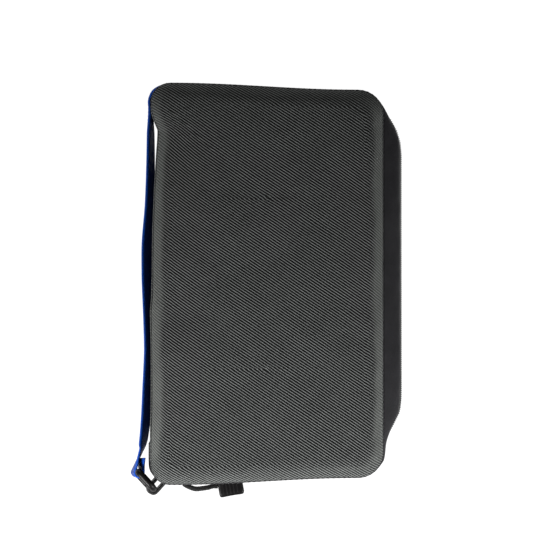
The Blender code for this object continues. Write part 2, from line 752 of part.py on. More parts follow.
def pull_tab(name, size, place, look):
    """A moulded grip with rounded edges and a shallow waist, its length along X."""
    half_l, half_w, half_t = (value / 2 for value in size)
    plan = [(-half_l, -half_w * 0.72), (-half_l + 0.002, -half_w), (0.0, -half_w * 0.94),
            (half_l - 0.002, -half_w), (half_l, -half_w * 0.8), (half_l, half_w * 0.8),
            (half_l - 0.002, half_w), (0.0, half_w * 0.94), (-half_l + 0.002, half_w),
            (-half_l, half_w * 0.72)]
    made = flat_solid(name, [plan], -half_t, half_t, look)
    rounded_edges(made, half_t * 0.45, 2, 40.0)
    made.location = place
    return made


def pivot(name, place, parent=None, turn=None):
    """An empty on the axis of a moving group."""
    made = bpy.data.objects.new(name, None)
    PARTS.objects.link(made)
    if turn is not None:
        made.matrix_world = Matrix.Translation(place) @ turn.to_4x4()
    else:
        made.location = place
    if parent is not None:
        made.parent = parent
    return made


def hang(items, carrier, axis=None):
    """Parent items, modelled in the case's frame, to an empty that lies at axis."""
    for item in items:
        item.parent = carrier
        if axis is not None:
            item.matrix_parent_inverse = Matrix.Translation(-Vector(axis))


def main_zip_pull(case):
    """The slider at the closed end of the main zip, and its cord pull hanging to the table."""
    chain_y = -ZIP_HALF_LENGTH
    turn = Matrix(((1, 0, 0), (0, 0, -1), (0, 1, 0)))
    carrier = pivot("main_slider_run", Vector((MAIN_SLIDER_X, chain_y, MID_Z)), case, turn)
    body = slider_body("main_slider", COIL_DEPTH, METAL, lid_open=True)
    body.parent = carrier
    hinge = Vector((MAIN_SLIDER_X, chain_y - bridge_height(COIL_DEPTH), MID_Z))
    pull = pivot("main_pull_hinge", hinge, case)
    link = pull_link("main_pull_link", METAL)
    link.parent = pull
    link.rotation_euler = (math.radians(90), 0.0, -MAIN_LINK_ANGLE)
    reach = LINK_LENGTH - LINK_WIRE / 2 + FIT
    tip = hinge + Vector((math.cos(MAIN_LINK_ANGLE), -math.sin(MAIN_LINK_ANGLE), 0)) * reach
    tab_place = Vector((hinge.x + MAIN_TAB_RUN, hinge.y - MAIN_TAB_OUT, PULL_TAB[2] / 2 + TABLE_GAP))
    end = tab_place + Vector((-PULL_TAB[0] / 2 - FIT, 0, 0))
    fall = tip.z - end.z
    route = [tip, tip + Vector((0.0032, -0.0020, -fall * 0.03)),
             tip + Vector((0.0082, -0.0046, -fall * 0.27)), tip + Vector((0.0129, -0.0055, -fall * 0.63)),
             tip + Vector((0.0172, -0.0057, -fall * 0.90)), end + Vector((-0.0035, 0, 0)), end]
    cord = rod("main_pull_cord", smooth_route(route, 0.005), PULL_CORD / 2, BLACK)
    tab = pull_tab("main_pull_tab", PULL_TAB, tab_place, MOULDED)
    hang([cord, tab], pull, hinge)


def pocket_zip_pull(case):
    """The slider at the top end of the pocket zip, its pull lying in the groove beside it."""
    turn = Matrix(((0, -1, 0), (-1, 0, 0), (0, 0, -1)))
    place = Vector((0.0, POCKET_SLIDER_Y, POCKET_ZIP_Z))
    carrier = pivot("pocket_slider_run", place, case, turn)
    body = slider_body("pocket_slider", POCKET_COIL_DEPTH, METAL, lid_open=False)
    body.parent = carrier
    hinge = place - Vector((0, 0, bridge_height(POCKET_COIL_DEPTH)))
    pull = pivot("pocket_pull_hinge", hinge, case)
    link = pull_link("pocket_pull_link", METAL)
    link.parent = pull
    link.rotation_euler = (0.0, 0.0, math.radians(-90))
    reach = LINK_LENGTH - LINK_WIRE / 2 + FIT
    level = PULL_CORD / 2 + FIT
    start = Vector((0, hinge.y - reach, level))
    end = start + Vector((POCKET_TAB_X, -POCKET_CORD_LENGTH, 0))
    route = [start, start.lerp(end, 0.3) + Vector((0.0010, 0, 0)),
             start.lerp(end, 0.7) + Vector((-0.0008, 0, 0)), end]
    cord = rod("pocket_pull_cord", smooth_route(route, 0.006), PULL_CORD / 2, BLACK)
    tab_place = end - Vector((0, POCKET_TAB[0] / 2 + FIT, 0))
    tab_place.z = POCKET_TAB[2] / 2 + TABLE_GAP
    tab = pull_tab("pocket_pull_tab", POCKET_TAB, Vector(), MOULDED)
    tab.rotation_euler = (0.0, 0.0, math.radians(90))
    tab.location = tab_place
    hang([cord, tab], pull, hinge)


def build():
    case = pivot("case_frame", Vector((0, CASE_SHIFT_Y, 0)))
    block, x_bound, low, high = page_block()
    hang([*front_cover(), pocket_panel(), badge(), pocket_wall(), pocket_base(), *pocket_zip(),
          block, binding(x_bound, low, high)], case)
    lower_axis = Vector((-HALF_WIDTH, 0, SEAM_Z))
    spine_fold = pivot("spine_fold", lower_axis, case)
    hang([*spine(), carry_strap(), strap_ring(), ring_tab()], spine_fold, lower_axis)
    upper_axis = Vector((-HALF_WIDTH, 0, CASE_THICKNESS - SEAM_Z))
    cover_fold = pivot("cover_fold", upper_axis, case)
    hang(back_cover(), cover_fold, upper_axis)
    main_zip_pull(case)
    pocket_zip_pull(case)


build()
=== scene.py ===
"""The looks of a zipped, padded disc wallet that lies on its front, in metres, +Z up.

It follows the wallet as it is put together: the picture, the two cord pulls, the covers, the
gussets and their zip, the front pocket, the spine, the strap and its ring, and the inside.
"""

import itertools
import math

import bmesh
import bpy
import numpy as np
from mathutils import Matrix, Vector, noise


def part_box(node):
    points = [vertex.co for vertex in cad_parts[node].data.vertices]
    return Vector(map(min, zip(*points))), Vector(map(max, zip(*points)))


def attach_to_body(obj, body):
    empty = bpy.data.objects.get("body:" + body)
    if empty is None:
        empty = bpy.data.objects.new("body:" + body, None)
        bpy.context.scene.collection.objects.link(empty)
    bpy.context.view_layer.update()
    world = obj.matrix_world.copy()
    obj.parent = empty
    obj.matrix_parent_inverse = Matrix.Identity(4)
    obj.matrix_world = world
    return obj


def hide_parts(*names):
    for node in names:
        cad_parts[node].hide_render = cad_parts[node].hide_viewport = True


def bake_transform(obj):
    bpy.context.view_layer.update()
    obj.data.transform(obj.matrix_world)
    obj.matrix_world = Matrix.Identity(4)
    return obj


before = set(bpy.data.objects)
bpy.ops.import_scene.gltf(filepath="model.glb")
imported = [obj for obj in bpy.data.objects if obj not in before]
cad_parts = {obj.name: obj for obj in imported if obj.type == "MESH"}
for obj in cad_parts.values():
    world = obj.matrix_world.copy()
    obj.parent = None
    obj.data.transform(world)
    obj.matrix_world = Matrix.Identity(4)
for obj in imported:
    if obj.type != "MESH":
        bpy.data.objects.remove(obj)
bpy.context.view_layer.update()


# The picture
# The wallet lies on a white table and is seen straight from above, from a metre over its upper
# cover. Soft light comes from all round, and more of it from the near left.
CAMERA_PLACE = (-0.00036, 0.01697, 1.048)
CAMERA_LENS = 95
FLOOR_SIZE = 6.0
FLOOR_DROP = 0.0002
WHITE = (1.0, 1.0, 1.0)
FLOOR_SHADE = (0.80, 0.80, 0.80)
SKY_LIGHT = 0.14
LAMPS = (("near_left", 2.6, (-0.26, -0.36, 0.26)), ("near_right", 2.4, (0.30, -0.36, 0.26)),
         ("far_end", 0.7, (-0.16, 0.60, 0.14)))
LAMP_SIZE = 0.12
FLOOR_GLOW = 1.2
FLOOR_GLOW_SHARE = 0.82


class Wire:
    """A socket's output, on which Python's arithmetic adds Math nodes."""

    def __init__(self, look, socket):
        self.look = look
        self.socket = socket

    def math(self, operation, *values):
        return self.look.node("Math", {"operation": operation}, dict(enumerate(values)))

    def __add__(self, other):
        return self.math("ADD", self, other)

    def __sub__(self, other):
        return self.math("SUBTRACT", self, other)

    def __rsub__(self, other):
        return self.math("SUBTRACT", other, self)

    def __mul__(self, other):
        return self.math("MULTIPLY", self, other)

    def __truediv__(self, other):
        return self.math("DIVIDE", self, other)

    __radd__ = __add__
    __rmul__ = __mul__

    def ridge(self):
        """A row of round ribs, one for each unit: 0 between two ribs and 1 on top."""
        side = self.math("FRACT", self) * 2 - 1
        return 1 - side * side

    def sine(self):
        return self.math("SINE", self)

    def between(self, low, high):
        """0 below low and 1 above high, with a soft step between them."""
        return self.look.node("MapRange", {"interpolation_type": "SMOOTHSTEP"},
                              {"Value": self, "From Min": low, "From Max": high})


class Look:
    """A material: a Principled surface, and the nodes that vary it."""

    def __init__(self, name, roughness, **constants):
        self.material = bpy.data.materials.new(name)
        self.material.use_nodes = True
        self.tree = self.material.node_tree
        self.surface = self.tree.nodes["Principled BSDF"]
        self.surface.inputs["Roughness"].default_value = roughness
        self.surface.inputs["Specular IOR Level"].default_value = 0.15
        for name, value in constants.items():
            self.surface.inputs[name.replace("_", " ")].default_value = value

    def node(self, kind, settings, inputs, output=0):
        made = self.tree.nodes.new("ShaderNode" + kind)
        for name, value in settings.items():
            setattr(made, name, value)
        for name, value in inputs.items():
            self.join(made.inputs[name], value)
        return Wire(self, made.outputs[output])

    def join(self, socket, value):
        if isinstance(value, Wire):
            self.tree.links.new(value.socket, socket)
        elif isinstance(value, tuple) and len(value) == 3 and len(socket.default_value) == 4:
            socket.default_value = (*value, 1.0)
        else:
            socket.default_value = value

    def vary(self, **sockets):
        for name, value in sockets.items():
            self.join(self.surface.inputs[name.replace("_", " ")], value)
        return self

    def axes(self, vector):
        """The three numbers of a vector."""
        return [self.node("SeparateXYZ", {}, {"Vector": vector}, part) for part in range(3)]

    def solid(self):
        """The place in the object's own space."""
        return self.node("TexCoord", {}, {}, "Object")

    def woven(self):
        """The place along and across the cloth, in metres, kept in the mesh."""
        return self.node("Attribute", {"attribute_name": "cloth"}, {}, "Vector")

    def noise(self, scale, detail=2.0, roughness=0.5):
        return self.node("TexNoise", {}, {"Vector": self.solid(), "Scale": scale, "Detail": detail,
                                          "Roughness": roughness})

    def mix(self, share, first, second):
        return self.node("Mix", {"data_type": "RGBA"}, {0: share, 6: first, 7: second}, 2)

    def dyed(self, tone, dark, light, **more):
        """The colour goes from dark at tone 0 to light at tone 1."""
        return self.vary(Base_Color=self.mix(tone, dark, light), **more)

    def relief(self, height, depth):
        """The surface raised by height, which goes from 0 to 1 over depth metres."""
        return self.vary(Normal=self.node("Bump", {}, {"Height": height, "Distance": depth,
                                                       "Strength": 1.0}))


def table_top():
    bpy.ops.mesh.primitive_plane_add(size=FLOOR_SIZE, location=(0, 0, -FLOOR_DROP))
    made = bpy.context.object
    made.name = "table_top"
    look = Look("white_table", 0.9)
    look.dyed(look.noise(2.0) * 0.1, FLOOR_SHADE, WHITE)
    rays = [look.node("LightPath", {}, {}, "Is %s Ray" % kind)
            for kind in ("Camera", "Glossy", "Transmission")]
    glow = look.node("Emission", {}, {"Color": WHITE, "Strength": FLOOR_GLOW})
    shade = look.node("MixShader", {}, {0: sum(rays) * FLOOR_GLOW_SHARE,
                                        1: Wire(look, look.surface.outputs[0]), 2: glow})
    look.join(look.tree.nodes["Material Output"].inputs["Surface"], shade)
    made.data.materials.append(look.material)


def soft_sky():
    sky = bpy.data.worlds.new("soft_sky")
    sky.use_nodes = True
    bpy.context.scene.world = sky
    nodes, links = sky.node_tree.nodes, sky.node_tree.links
    path = nodes.new("ShaderNodeLightPath")
    white = nodes.new("ShaderNodeMath")
    white.operation = "MAXIMUM"
    links.new(path.outputs["Is Camera Ray"], white.inputs[0])
    links.new(path.outputs["Is Transmission Ray"], white.inputs[1])
    level = nodes.new("ShaderNodeMapRange")
    level.inputs["To Min"].default_value = SKY_LIGHT
    level.inputs["To Max"].default_value = 1.0
    links.new(white.outputs[0], level.inputs["Value"])
    nodes["Background"].inputs["Color"].default_value = (*WHITE, 1.0)
    links.new(level.outputs[0], nodes["Background"].inputs["Strength"])


def lamps():
    for name, power, place in LAMPS:
        data = bpy.data.lights.new(name, "AREA")
        data.energy = power
        data.size = LAMP_SIZE
        lamp = bpy.data.objects.new(name, data)
        lamp.location = place
        lamp.rotation_euler = Vector(place).to_track_quat("Z", "Y").to_euler()
        lamp.visible_camera = False
        bpy.context.scene.collection.objects.link(lamp)


def camera():
    data = bpy.data.cameras.new("camera")
    data.lens = CAMERA_LENS
    made = bpy.data.objects.new("camera", data)
    made.location = CAMERA_PLACE
    bpy.context.scene.collection.objects.link(made)
    bpy.context.scene.camera = made


bpy.context.scene.view_settings.view_transform = "Standard"
table_top()
soft_sky()
lamps()
camera()


# Cord pulls
# Round braided cords, each knotted through the wire link of its slider and moulded into a grip.
# The main one hangs from the closed end of the zip to the table, the other lies by the pocket.
panel_low, panel_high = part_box("back_panel")
CASE_Y = (panel_low.y + panel_high.y) / 2
CORD = 0.0036
LINK_REACH = 0.0077
LINK_ANGLE = math.radians(35)
LINK_WIRE = 0.0012
LINK_SIZE = (0.0080, 0.0062)
LINK_CORNER = 0.0012
MAIN_HINGE = Vector((-0.0670, -0.1413, 0.0240))
main_tip = MAIN_HINGE + Vector((math.cos(LINK_ANGLE), -math.sin(LINK_ANGLE), 0)) * LINK_REACH
MAIN_GRIP = Vector((-0.0270, -0.1508, 0.0025))
GRIP_SIZE = (0.0185, 0.0150, 0.0046)
CORD_GAP = 0.0003
main_end = MAIN_GRIP - Vector((GRIP_SIZE[0] / 2 + CORD_GAP, 0, 0))
fall = main_tip.z - main_end.z
MAIN_BENDS = ((0, 0, 0), (0.0032, -0.0020, 0.03), (0.0082, -0.0046, 0.27), (0.0129, -0.0055, 0.63),
              (0.0172, -0.0057, 0.90))
MAIN_ROUTE = [*(main_tip + Vector((x, y, -fall * drop)) for x, y, drop in MAIN_BENDS),
              main_end - Vector((0.0035, 0, 0)), main_end]
POCKET_HINGE = Vector((0, 0.1170, 0.0022))
POCKET_GRIP_SIZE = (0.0185, 0.0130, 0.0038)
pocket_start = Vector((0, POCKET_HINGE.y - LINK_REACH, 0.0021))
pocket_end = pocket_start + Vector((-0.0036, -0.0340, 0))
POCKET_ROUTE = [pocket_start, pocket_start.lerp(pocket_end, 0.3) + Vector((0.0010, 0, 0)),
                pocket_start.lerp(pocket_end, 0.7) - Vector((0.0008, 0, 0)), pocket_end]
POCKET_GRIP = pocket_end - Vector((0, POCKET_GRIP_SIZE[0] / 2 + CORD_GAP, 0))
BLACK_THREAD = (0.002, 0.002, 0.002)
GREY_THREAD = (0.011, 0.011, 0.011)


def flowing(points, spacing):
    """Points about spacing apart on a smooth curve through the given points."""
    padded = [points[0] * 2 - points[1], *points, points[-1] * 2 - points[-2]]
    route = []
    for a, b, c, d in zip(padded, padded[1:], padded[2:], padded[3:]):
        steps = max(1, round((c - b).length / spacing))
        for step in range(steps):
            t = step / steps
            route.append(0.5 * (2 * b + (c - a) * t + (2 * a - 5 * b + 4 * c - d) * t * t
                                + (3 * b - a - 3 * c + d) * t ** 3))
    return [*route, points[-1]]


def circle(sides):
    """The angles of a ring's points."""
    return np.linspace(0, 2 * math.pi, sides, endpoint=False)


def columns(*values):
    """Numbers and lists of numbers side by side, as the columns of one table."""
    return np.column_stack(np.broadcast_arrays(*values))


def unit(vectors):
    return vectors / np.linalg.norm(vectors, axis=-1, keepdims=True)


def vertex_places(mesh):
    return np.array([tuple(vertex.co) for vertex in mesh.vertices])


def piece(name, points, faces, look, cloth=None):
    """A smooth mesh of points in the case's own frame, moved to the scene's frame.

    cloth holds the place along and across the cloth for each point.
    """
    points = np.asarray(points, float).reshape(-1, 3) + (0, CASE_Y, 0)
    mesh = bpy.data.meshes.new(name)
    mesh.from_pydata(points.tolist(), [], faces)
    if cloth is not None:
        flat = np.zeros((len(points), 3))
        flat[:, :2] = np.asarray(cloth, float).reshape(-1, 2)
        mesh.attributes.new("cloth", "FLOAT_VECTOR", "POINT").data.foreach_set("vector", flat.ravel())
    mesh.materials.append(look.material)
    mesh.shade_smooth()
    made = bpy.data.objects.new(name, mesh)
    bpy.context.scene.collection.objects.link(made)
    return made


def faces_between(rows, count, wrap, ends, base=0):
    """Faces through rows of count points, numbered from base. wrap closes each row, and ends the
    first row and the last."""
    faces = []
    for start in range(base, base + (rows - 1) * count, count):
        for step in range(count if wrap else count - 1):
            near, after = start + step, start + (step + 1) % count
            faces.append((near, after, after + count, near + count))
    if ends:
        last = base + (rows - 1) * count
        faces += [tuple(range(base, base + count))[::-1], tuple(range(last, last + count))]
    return faces


def grid(name, rows, look, cloth=None, wrap=False, ends=False):
    """A smooth mesh through rows of points."""
    return piece(name, rows, faces_between(len(rows), len(rows[0]), wrap, ends), look, cloth)


def settle(item):
    """Work the modifiers of item into its mesh."""
    bpy.context.view_layer.update()
    shape = item.evaluated_get(bpy.context.evaluated_depsgraph_get())
    mesh = bpy.data.meshes.new_from_object(shape)
    item.modifiers.clear()
    item.data = mesh
    return item


def directions(route, closed=False):
    """A unit tangent, and two unit normals that turn as little as they can, for each point."""
    points = np.asarray([tuple(point) for point in route], float)
    if closed:
        ahead = np.roll(points, -1, 0) - np.roll(points, 1, 0)
    else:
        ahead = np.gradient(points, axis=0)
    ahead = unit(ahead)
    normal = np.cross(ahead[0], (0.0, 0.0, 1.0) if abs(ahead[0][2]) < 0.9 else (1.0, 0.0, 0.0))
    normals = []
    for tangent in ahead:
        normal = unit(normal - tangent * np.dot(normal, tangent))
        normals.append(normal)
    normals = np.array(normals)
    return points, ahead, normals, np.cross(ahead, normals)


def lengths(points):
    """The distance run along points, from the first to each one."""
    steps = np.linalg.norm(np.diff(points, axis=0), axis=1)
    return np.concatenate(([0.0], np.cumsum(steps)))


def reached(at, run, points):
    """What points say at a distance, or at several, where run holds the distance to each."""
    return np.stack([np.interp(at, run, line) for line in points.T], -1)


def tube(name, route, radius, look, sides=16, closed=False, profile=None):
    """A round rod along route. profile gives the radius at a distance along and an angle."""
    points, _, across, up = directions(route, closed)
    run = lengths(points)
    turn = circle(sides)
    rows, cloth = [], []
    for step, point in enumerate(points):
        size = np.full(sides, radius) if profile is None else profile(run[step], turn)
        rows.append(point + size[:, None] * (np.cos(turn)[:, None] * across[step]
                                             + np.sin(turn)[:, None] * up[step]))
        cloth.append(columns(run[step], turn * radius))
    if closed:
        rows.append(rows[0])
        cloth.append(cloth[0])
    return grid(name, rows, look, cloth, wrap=True, ends=not closed)


def braid(along, turn):
    """The radius of a braided cord: eight strands each way, over and under each other."""
    lift = np.sin(4 * turn + along * 2600) * np.sin(4 * turn - along * 2600)
    return CORD / 2 * (1 + 0.055 * lift)


def braided_look():
    look = Look("black_braided_cord", 0.62, Sheen_Weight=0.05)
    along, around, _ = look.axes(look.woven())
    strand = (along * 1800 + around * 900).ridge() * (along * 1800 - around * 900).ridge()
    look.dyed(strand * 0.6 + look.noise(900) * 0.25, BLACK_THREAD, GREY_THREAD)
    return look.relief(strand, 0.00012)


def grip(name, size, place, turn):
    """A moulded grip, softly waisted, with finger ridges and a collar round the cord."""
    length, width, depth = size
    c, s = np.cos(circle(28)), np.sin(circle(28))
    flat = (np.abs(c) ** 5 + np.abs(s) ** 5) ** (-1 / 5)
    rows = []
    for along in np.linspace(-1, 1, 41):
        close = (1 - abs(along) ** 7) ** (1 / 2.4)
        waist = 0.93 + 0.07 * along * along
        rib = 0.035 * math.cos(along * 22) if abs(along) < 0.62 else 0.0
        rows.append(columns(along * length / 2, c * flat * width / 2 * waist * (0.72 + 0.28 * close),
                            s * flat * depth / 2 * (0.55 + 0.45 * close) * (1 + rib)))
    moved = Matrix.Translation(place) @ Matrix.Rotation(turn, 4, "Z")
    rows = [[moved @ Vector(point) for point in ring] for ring in rows]
    return grid(name, rows, MOULDED, wrap=True, ends=True)


def moulded_look():
    look = Look("black_moulded_plastic", 0.42, Coat_Weight=0.03, Coat_Roughness=0.4)
    grain = look.noise(1800, 3.0)
    wear = look.noise(120, 4.0).between(0.52, 0.75)
    look.dyed(wear * 0.5, (0.0026, 0.0021, 0.0023), (0.0085, 0.0078, 0.0080),
              Roughness=0.36 + wear * 0.18 + grain * 0.06)
    return look.relief(grain, 0.00004)


def attach(item, body, slot, *nodes):
    """item rides on body and stands for the solids named, which are hidden. slot is not used."""
    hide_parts(*nodes)
    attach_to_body(item, body)
    return item


BRAIDED = braided_look()
MOULDED = moulded_look()
for word, body, route, size, centre, turn in (
        ("main", "main_pull", MAIN_ROUTE, GRIP_SIZE, MAIN_GRIP, math.radians(10)),
        ("pocket", "pocket_pull", POCKET_ROUTE, POCKET_GRIP_SIZE, POCKET_GRIP, math.radians(90))):
    line = flowing(route, 0.0008)
    cord = tube(word + "_cord", line, CORD / 2, BRAIDED, sides=32, profile=braid)
    held = grip(word + "_grip", size, centre, turn)
    path = [point + Vector((0, CASE_Y, 0)) for point in line]
    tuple(path[0])
    lengths(np.array([tuple(p) for p in path]))[-1]
    "hanging" if word == "main" else "loose"
    attach(cord, body, "cord", word + "_pull_cord")
    attach(held, body, "black_plastic", word + "_pull_tab")


# Upper cover
# The back of the wallet: charcoal ribbed twill over foam, crowned at its edges. The cloth is drawn
# down all round and sewn to the gusset with a turned edge and one row of stitches.
HALF_WIDTH = (panel_high.x - panel_low.x) / 2
HALF_LENGTH = (panel_high.y - panel_low.y) / 2
CASE_TOP = panel_high.z
CROWN = panel_high.z - panel_low.z
SEAM = CROWN
CROWN_WIDTH = 0.014
EDGE_BOW = 0.005
SPINE_R = 0.014
FORE_R = 0.018
BOW_START = -HALF_WIDTH + SPINE_R
BOW_END = HALF_WIDTH - FORE_R
END_STEPS = 46
CORNER_STEPS = 9
SIDE_STEPS = 78
CROWN_STEPS = 10
MIDDLE_STEPS = 17
ROLL = 0.0007
SPINE_PULL_END = -0.040
SPINE_PULLS = ((-0.105, 0.0), (-0.087, 0.0006), (-0.070, 0.0007), (-0.045, 0.0006), (-0.019, 0.0),
               (-0.010, 0.0009), (0.005, 0.0013), (0.040, 0.0017), (0.055, 0.0024), (0.067, 0.0029),
               (0.080, 0.0036), (0.092, 0.0043), (0.101, 0.0050), (0.110, 0.0055), (0.117, 0.0026),
               (0.122, 0.0010), (0.130, 0.0003), (0.138, 0.0))
CORNER_SINK = 0.0105
CORNER_SINK_Y = -0.1155
CORNER_SINK_REACH = 0.016
RIB_PITCH = 0.00178
RIB_ANGLE = math.radians(33.7)
# The twill's rib valleys are painted near black, as painted shade between the ribs.
TWILL_VALLEY_SHADE = (0.002, 0.002, 0.002)
TWILL_LIGHT = (0.190, 0.199, 0.194)
# The colour of a painted highlight on the covers' crown slopes.
TWILL_CROWN_HIGHLIGHT = (0.138, 0.145, 0.137)
STITCH = 0.0030
STITCH_GAP = 0.0008
THREAD = 0.00032
SIM_FRAMES = 16
SMOOTHINGS = 14
SINK_LIMIT = 0.0002
STITCH_DEPTH = 0.0022
STITCH_SIDES = 6
ZIP_REACH = 0.0135


def half_at(x, half, bow):
    """Half the length at x: both ends run in by bow towards the fore edge."""
    share = np.clip((x - BOW_START) / (BOW_END - BOW_START), 0, 1)
    return half - bow * (1 - np.cos(np.pi * share)) / 2


def corner(x, y, radius, start):
    turn = np.radians(np.linspace(start, start + 90, CORNER_STEPS))
    return columns(x + radius * np.cos(turn), y + radius * np.sin(turn))


def open_rim(x_spine, x_fore, half, bow, r_spine, r_fore):
    """An outline from the lower spine corner, round the fore edge, to the upper spine corner."""
    x_in, x_out = x_spine + r_spine, x_fore - r_fore
    y_in = half_at(x_in, half, bow) - r_spine
    y_out = half_at(x_out, half, bow) - r_fore
    x_run = np.linspace(x_in, x_out, END_STEPS)[1:-1]
    end = columns(x_run, -half_at(x_run, half, bow))
    lower = np.vstack((corner(x_in, -y_in, r_spine, 180), end, corner(x_out, -y_out, r_fore, 270)))
    fore = columns(x_fore, np.linspace(-y_out, y_out, SIDE_STEPS + 2)[1:-1])
    return np.vstack((lower, fore, lower[::-1] * (1, -1)))


def closed_rim(*sizes):
    run = open_rim(*sizes)
    y_side = np.linspace(run[-1][1], run[0][1], SIDE_STEPS + 2)[1:-1]
    return np.vstack((run, columns(run[0][0], y_side)))


def full_rim(inset):
    return closed_rim(-HALF_WIDTH + inset, HALF_WIDTH - inset, HALF_LENGTH - inset, EDGE_BOW,
                      SPINE_R - inset / 2, FORE_R - inset / 2)


def eased(share):
    return share * share * (3 - 2 * share)


def slumped(plan):
    """The soft case's own shape: its spine side is drawn in below the strap's upper seam, and the
    gusset at the lower fore corner has sunk in."""
    plan = np.array(plan, float)
    near = np.clip((SPINE_PULL_END - plan[:, 0]) / (SPINE_PULL_END + HALF_WIDTH), 0, 1)
    places, pulls = zip(*SPINE_PULLS)
    plan[:, 0] += np.interp(plan[:, 1], places, pulls) * eased(near)
    far = np.clip((plan[:, 0] - HALF_WIDTH) / ZIP_REACH, 0, 1)
    plan[:, 0] -= CORNER_SINK * far * np.exp(-((plan[:, 1] - CORNER_SINK_Y) / CORNER_SINK_REACH) ** 2)
    return plan


def at_z(plan, z, upper):
    """An outline as points at a height in the lower cover, or at the mirrored one in the upper."""
    level = np.broadcast_to(z, len(plan))
    return np.column_stack((slumped(plan), CASE_TOP - level if upper else level))


def follow(item):
    """Move a finished piece with the slumped cloth round it."""
    points = vertex_places(item.data)
    points[:, :2] = slumped(points[:, :2] - (0, CASE_Y)) + (0, CASE_Y)
    item.data.vertices.foreach_set("co", points.ravel())
    return item


def crowned(name, rim_at, upper, look, crown=CROWN, width=CROWN_WIDTH, seam=SEAM):
    """A cloth skin from its turned edge at the seam, over the crown, to the middle of the cover."""
    angles = np.radians(np.linspace(0, 90, CROWN_STEPS))
    insets = width * (1 - np.cos(angles))
    levels = seam - crown * np.sin(angles)
    climbed = lengths(columns(insets, levels))
    flats = width - (climbed[-1] - climbed)
    rows = [at_z(rim_at(ROLL * 1.6), seam + ROLL * 0.3, upper),
            at_z(rim_at(ROLL * 0.5), seam + ROLL * 0.6, upper)]
    cloth = [rim_at(flats[0] - ROLL * 2), rim_at(flats[0] - ROLL)]
    for inset, level, flat in zip(insets, levels, flats):
        rows.append(at_z(rim_at(inset), level, upper))
        cloth.append(rim_at(flat))
    inner = rim_at(width)
    middle = (inner.min(0) + inner.max(0)) / 2
    reach = np.ptp(inner[:, 1]) / 2 - np.ptp(inner[:, 0]) / 2
    core = columns(middle[0], np.clip(inner[:, 1], -reach, reach))
    for share in np.linspace(0, 1, MIDDLE_STEPS + 1)[1:]:
        plan = inner * (1 - share) + core * share
        rows.append(at_z(plan, levels[-1], upper))
        cloth.append(plan)
    made = grid(name, rows, look, cloth, wrap=True)
    work = bmesh.new()
    work.from_mesh(made.data)
    bmesh.ops.remove_doubles(work, verts=work.verts, dist=1e-6)
    bmesh.ops.recalc_face_normals(work, faces=work.faces)
    outward = sum((face.normal * face.calc_area() for face in work.faces), Vector())
    if (outward.z > 0) != upper:
        bmesh.ops.reverse_faces(work, faces=work.faces)
    work.to_mesh(made.data)
    work.free()
    made.data.shade_smooth()
    return made


def padded_out(item, held, pressure, cap, shift=None):
    """Swell item by its padding in a cloth simulation, with the points in held kept still.

    No point moves by more than cap, or inward by more than SINK_LIMIT, and the moves are smoothed.
    shift may change them before they are made.
    """
    stage = bpy.context.scene
    stage.frame_set(1)
    item.vertex_groups.new(name="sewn").add([int(i) for i in np.flatnonzero(held)], 1.0, "REPLACE")
    cloth = item.modifiers.new("padding", "CLOTH")
    settings = cloth.settings
    settings.vertex_group_mass = "sewn"
    settings.quality = 4
    settings.mass = 0.2
    settings.tension_stiffness = 14
    settings.compression_stiffness = 14
    settings.shear_stiffness = 6
    settings.bending_stiffness = 4.0
    settings.shrink_min = -0.008
    settings.use_pressure = True
    settings.uniform_pressure_force = pressure
    settings.effector_weights.gravity = 0.0
    for step in range(1, SIM_FRAMES + 1):
        stage.frame_set(step)
    shape = item.evaluated_get(bpy.context.evaluated_depsgraph_get())
    swollen = vertex_places(shape.data)
    item.modifiers.remove(cloth)
    item.vertex_groups.clear()
    stage.frame_set(1)
    rest = vertex_places(item.data)
    moves = swollen - rest
    far = np.linalg.norm(moves, axis=1)[:, None]
    print("padding", item.name, "moves up to", round(float(far.max()) * 1000, 2), "mm")
    moves *= cap * np.tanh(far / cap) / np.maximum(far, 1e-9)
    near, after = np.array([tuple(edge.vertices) for edge in item.data.edges]).T
    for _ in range(SMOOTHINGS):
        total, count = moves.copy(), np.ones((len(moves), 1))
        for one, other in ((near, after), (after, near)):
            np.add.at(total, one, moves[other])
            np.add.at(count, one, 1.0)
        moves = np.where(np.asarray(held)[:, None], 0.0, total / count)
    normals = np.array([tuple(vertex.normal) for vertex in item.data.vertices])
    sunk = np.minimum(0.0, (moves * normals).sum(1) + SINK_LIMIT)[:, None]
    moves -= normals * sunk
    if shift is not None:
        moves = shift(rest, moves)
    item.data.vertices.foreach_set("co", (rest + moves).ravel())
    return item


def rounded_off(item):
    item.modifiers.new("round", "SUBSURF").levels = 1
    return settle(item)


def lumpy(item, size, height, seam_z, reach):
    """Uneven padding: low soft swells, none at the seam, along the normals of item."""
    places = [vertex.co.copy() for vertex in item.data.vertices]
    normals = [vertex.normal.copy() for vertex in item.data.vertices]
    for vertex, place, normal in zip(item.data.vertices, places, normals):
        away = min(1.0, abs(place.z - seam_z) / reach)
        swell = noise.noise(place / size) + 0.5 * noise.noise(place / size * 2.3)
        vertex.co = place + normal * (height * swell * away)
    return item


